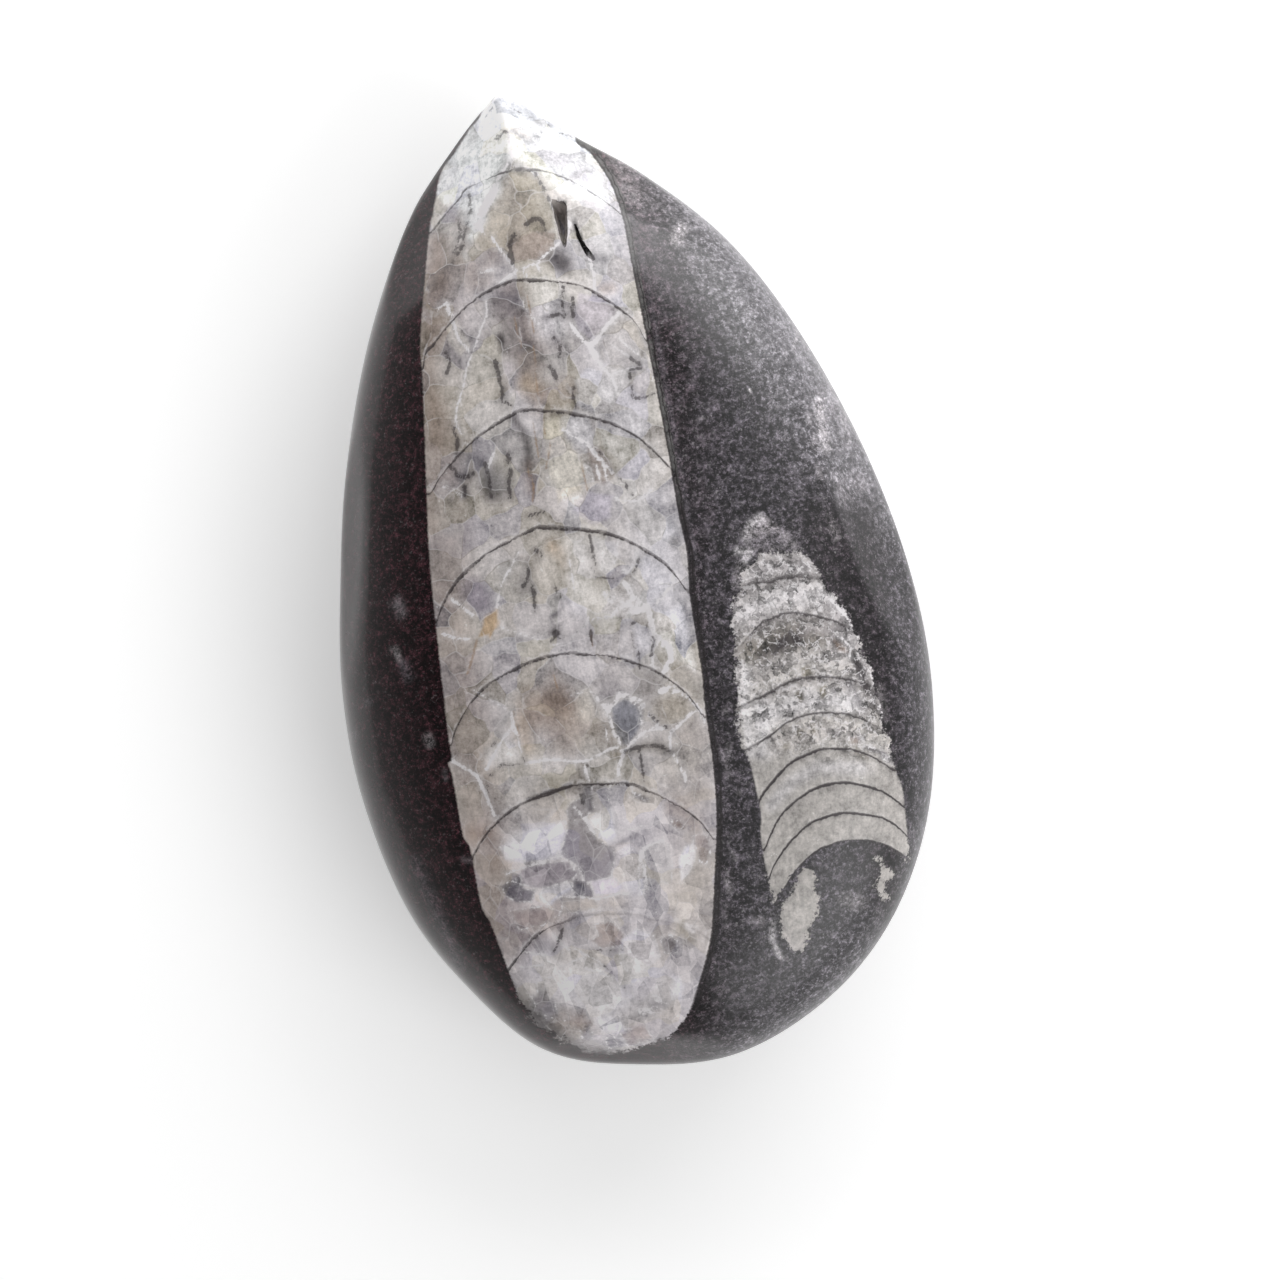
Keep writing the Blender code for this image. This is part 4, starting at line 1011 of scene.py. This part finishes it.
def limestone_colour(finish, plan, bent, grit, cloud, zones):
    """Near black and brown to the left, greyer and gritty to the right; paler towards the rim as painted
    sheen, and darker on the right flank below the small shell as painted shade.
    """
    east, rim_sheen, painted_shade = zones
    stone = finish.mix(east, (0.0120, 0.0042, 0.0056), (0.031, 0.0275, 0.0325))
    # Painted sheen: paler towards the upper and lower right rim.
    stone = finish.mix(rim_sheen, stone, (0.19, 0.182, 0.196))
    # Painted shade: darker on the right flank below the small shell's tip.
    stone = finish.mix(painted_shade, stone, (0.012, 0.009, 0.011))
    scratch = finish.noise(finish.tilted(plan, 0.03, (0.30, 7.0)), 1.0)
    pepper = finish.noise(plan, 2.6, 4, 0.8)
    salt = finish.noise(plan, 3.4, 2, 0.6).ramp(0.58, 0.70)
    blotch = finish.noise(plan, 1.5, 3, 0.65)
    light = grit.ramp(0.42, 0.68) * (2.6 - rim_sheen * 1.8) + pepper.ramp(0.48, 0.70) * (5.2 - rim_sheen * 5.0)
    light = light + rim_sheen * 0.9 + 0.05
    light = light * (blotch.ramp(0.42, 0.56) * (1.15 - rim_sheen * 0.9) + rim_sheen * 0.5 + 0.35)
    light = light + scratch.ramp(0.60, 0.74) * 1.1 + cloud * 0.3
    stone = finish.shade(stone, light)
    flecks = finish.cell_hearts(bent, 1.3).ramp(0.26, 0.02) * grit.ramp(0.48, 0.58)
    flecks = flecks + salt * grit.ramp(0.42, 0.56)
    stone = finish.mix(flecks * (east * 0.50 + 0.25) * (1 - rim_sheen), stone, (0.24, 0.228, 0.235))
    crisp = grit.ramp(0.38, 0.60) * 1.0 + pepper.ramp(0.42, 0.60) * 0.9 + 0.05
    # Pale scraps and painted sheen on the dark limestone.
    scraps_and_sheen = finish.shade(finish.attribute("scraps_and_sheen", "Color"), crisp)
    return finish.mix(1.0, stone, scraps_and_sheen, "ADD"), pepper


def polished_limestone():
    finish = Finish("polished_limestone")
    plan = finish.source("TexCoord", "Object")
    plan = finish.node("VectorMath", {"operation": "SCALE"}, plan, Scale=1 / MM)
    x, y, _ = finish.parts(plan)
    edge, count, chamber = finish.parts(finish.attribute("shells"))
    ragged = finish.noise(plan, 3.2, 3, 0.7) - 0.5
    cloud = finish.noise(plan, 0.5, 4, 0.62)
    bent = finish.warped(plan, 0.35, 1.0, 2.0)

    # The small shell crumbles towards its tip, and the big one frays at the stone's foot.
    in_small = chamber.ramp(9, 7)
    crunch = in_small * (y + x * 0.3).ramp(-20.5, -14.0)
    patch = in_small * y.ramp(-33, -34.5)
    edge = edge + ragged * (crunch * 1.7 + patch * 1.5 + 0.3)
    edge = edge + (cloud - 0.5) * (crunch * 2.5 + patch * 2 + 0.1)
    mosaic = (1 - in_small) * y.ramp(-20, -24)
    edge = edge + (ragged * 1.6 + (cloud - 0.5) * 3) * mosaic * y.ramp(-40, -44) * x.ramp(0, -4)
    shell = (count, chamber, mosaic, crunch, edge.ramp(2.4, 0.6))
    spar = spar_colour(finish, plan, bent, ragged, cloud, shell)

    grit = finish.noise(plan, 0.9, 7, 0.80)
    east = (x - y * 0.15 + cloud * 8).ramp(3.0, 18.0)
    # Painted sheen: paler towards the upper and lower right rim.
    upper = (x + y * 0.35 + cloud * 4).ramp(24, 33) * y.ramp(-6, 4)
    lower = (x * 0.6 - y * 0.8 + cloud * 4).ramp(42, 54) * 0.35
    # Painted shade: darker on the right flank below the small shell's tip.
    painted_shade = x.ramp(18, 22) * y.ramp(7, 0) * (x - y * 0.12).ramp(30.5, 27) * 0.8
    zones = (east, upper * 0.65 + lower, painted_shade)
    stone, pepper = limestone_colour(finish, plan, bent, grit, cloud, zones)

    # The big shell's right wall: a grey band between two dark hairlines.
    right = x.ramp(-1.5, 1.0) * (1 - in_small)
    wall = right * edge.ramp(-0.72, -0.58) * edge.ramp(0.1, 0.0)
    shell_grey = finish.mix(y.ramp(2, 14), (0.02, 0.018, 0.018), (0.15, 0.15, 0.145))
    stone = finish.mix(wall * grit.ramp(0.34, 0.60) * 0.8, stone, shell_grey)
    hairline = right * abs(edge + 0.45 + (cloud - 0.5) * 0.9).ramp(0.12, 0.02)
    stone = finish.mix(hairline * 0.85, stone, "black")
    colour = finish.mix(edge.ramp(-0.14, 0.14), stone, spar)
    rim = right * abs(edge + 0.02).ramp(0.16, 0.04)
    finish.feed("Base Color", finish.mix(rim * 0.75, colour, "black"))

    finish.feed("Roughness", east * 0.16 + grit * 0.10 + 0.10)
    finish.shader.inputs["IOR"].default_value = 1.5
    height = finish.noise(plan, 0.12) + pepper * east * edge.ramp(0.1, -0.1) * 0.12
    finish.feed("Normal", finish.node("Bump", None, Strength=0.25, Distance=0.6 * MM, Height=height))
    return finish.material


# ---------------------------------------------------------------- the set

def add_camera():
    camera = bpy.data.cameras.new("camera")
    camera.lens, camera.sensor_width = LENS, SENSOR
    camera.clip_start = 0.01
    view = bpy.data.objects.new("camera", camera)
    view.location = (EYE[0] * MM, EYE[1] * MM, REST_DROP + EYE_HEIGHT * MM)
    view.rotation_euler = (0, 0, -ROLL)
    bpy.context.collection.objects.link(view)
    bpy.context.scene.camera = view


def add_softbox(name, azimuth, elevation, distance, width, height, radiance):
    azimuth, elevation = math.radians(azimuth), math.radians(elevation)
    level = math.cos(elevation) * distance
    light = bpy.data.lights.new(name, "AREA")
    light.shape = "RECTANGLE"
    light.size, light.size_y = width, height
    light.energy = radiance * math.pi * width * height
    box = bpy.data.objects.new(name, light)
    box.location = (level * math.cos(azimuth), level * math.sin(azimuth), math.sin(elevation) * distance)
    box.rotation_euler = (Vector((0, 0, 0.01)) - box.location).to_track_quat("-Z", "Y").to_euler()
    bpy.context.collection.objects.link(box)


def add_floor():
    sheet = bmesh.new()
    bmesh.ops.create_grid(sheet, x_segments=1, y_segments=1, size=1.0)
    mesh = bpy.data.meshes.new("floor")
    sheet.to_mesh(mesh)
    sheet.free()
    finish = Finish("floor_white")
    finish.shader.inputs["Base Color"].default_value = (0.92, 0.92, 0.92, 1)
    finish.shader.inputs["Roughness"].default_value = 1.0
    finish.shader.inputs["Emission Color"].default_value = (1, 1, 1, 1)
    finish.shader.inputs["Emission Strength"].default_value = 0.35
    mesh.materials.append(finish.material)
    add_object("floor", mesh)


def add_lights():
    add_softbox("key", 52, 24, 0.75, 0.60, 0.56, 3.7)
    add_softbox("panel", -20, 60, 1.0, 1.2, 0.80, 0.6)
    add_softbox("low", -52, 30, 0.75, 0.60, 0.50, 2.2)
    add_softbox("tip", 98, 28, 0.75, 0.50, 0.40, 2.2)
    world = bpy.data.worlds.new("studio")
    world.use_nodes = True
    nodes, links = world.node_tree.nodes, world.node_tree.links
    sky = nodes.new("ShaderNodeTexCoord")
    height = nodes.new("ShaderNodeSeparateXYZ")
    links.new(sky.outputs["Generated"], height.inputs[0])
    fade = nodes.new("ShaderNodeValToRGB")
    fade.color_ramp.elements[0].color = (0.60, 0.60, 0.60, 1)
    fade.color_ramp.elements[1].color = (0.10, 0.10, 0.10, 1)
    fade.color_ramp.elements[1].position = 0.85
    links.new(height.outputs["Z"], fade.inputs["Fac"])
    links.new(fade.outputs["Color"], nodes["Background"].inputs["Color"])
    bpy.context.scene.world = world
    bpy.context.scene.view_settings.view_transform = "Standard"


def add_pebble():
    stone = ground_body()
    cutters = [
        cut_pit(stone, "vug_cutter", VUG_MOUTH, VUG_DEPTH, 0.45),
        cut_pit(stone, "seam_cutter", SEAM_MOUTH, SEAM_DEPTH, 0.5),
    ]
    make_plain(stone)
    for cutter in cutters:
        bpy.data.objects.remove(cutter)
    stone.data.materials.clear()
    stone.data.materials.append(polished_limestone())
    stone.data.shade_smooth()
    stone.data.set_sharp_from_angle(angle=math.radians(35))
    paint_stone(stone.data)
    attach(stone, "root")
    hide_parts("orthoceras_fossil")


add_camera()
add_lights()
add_floor()
add_pebble()
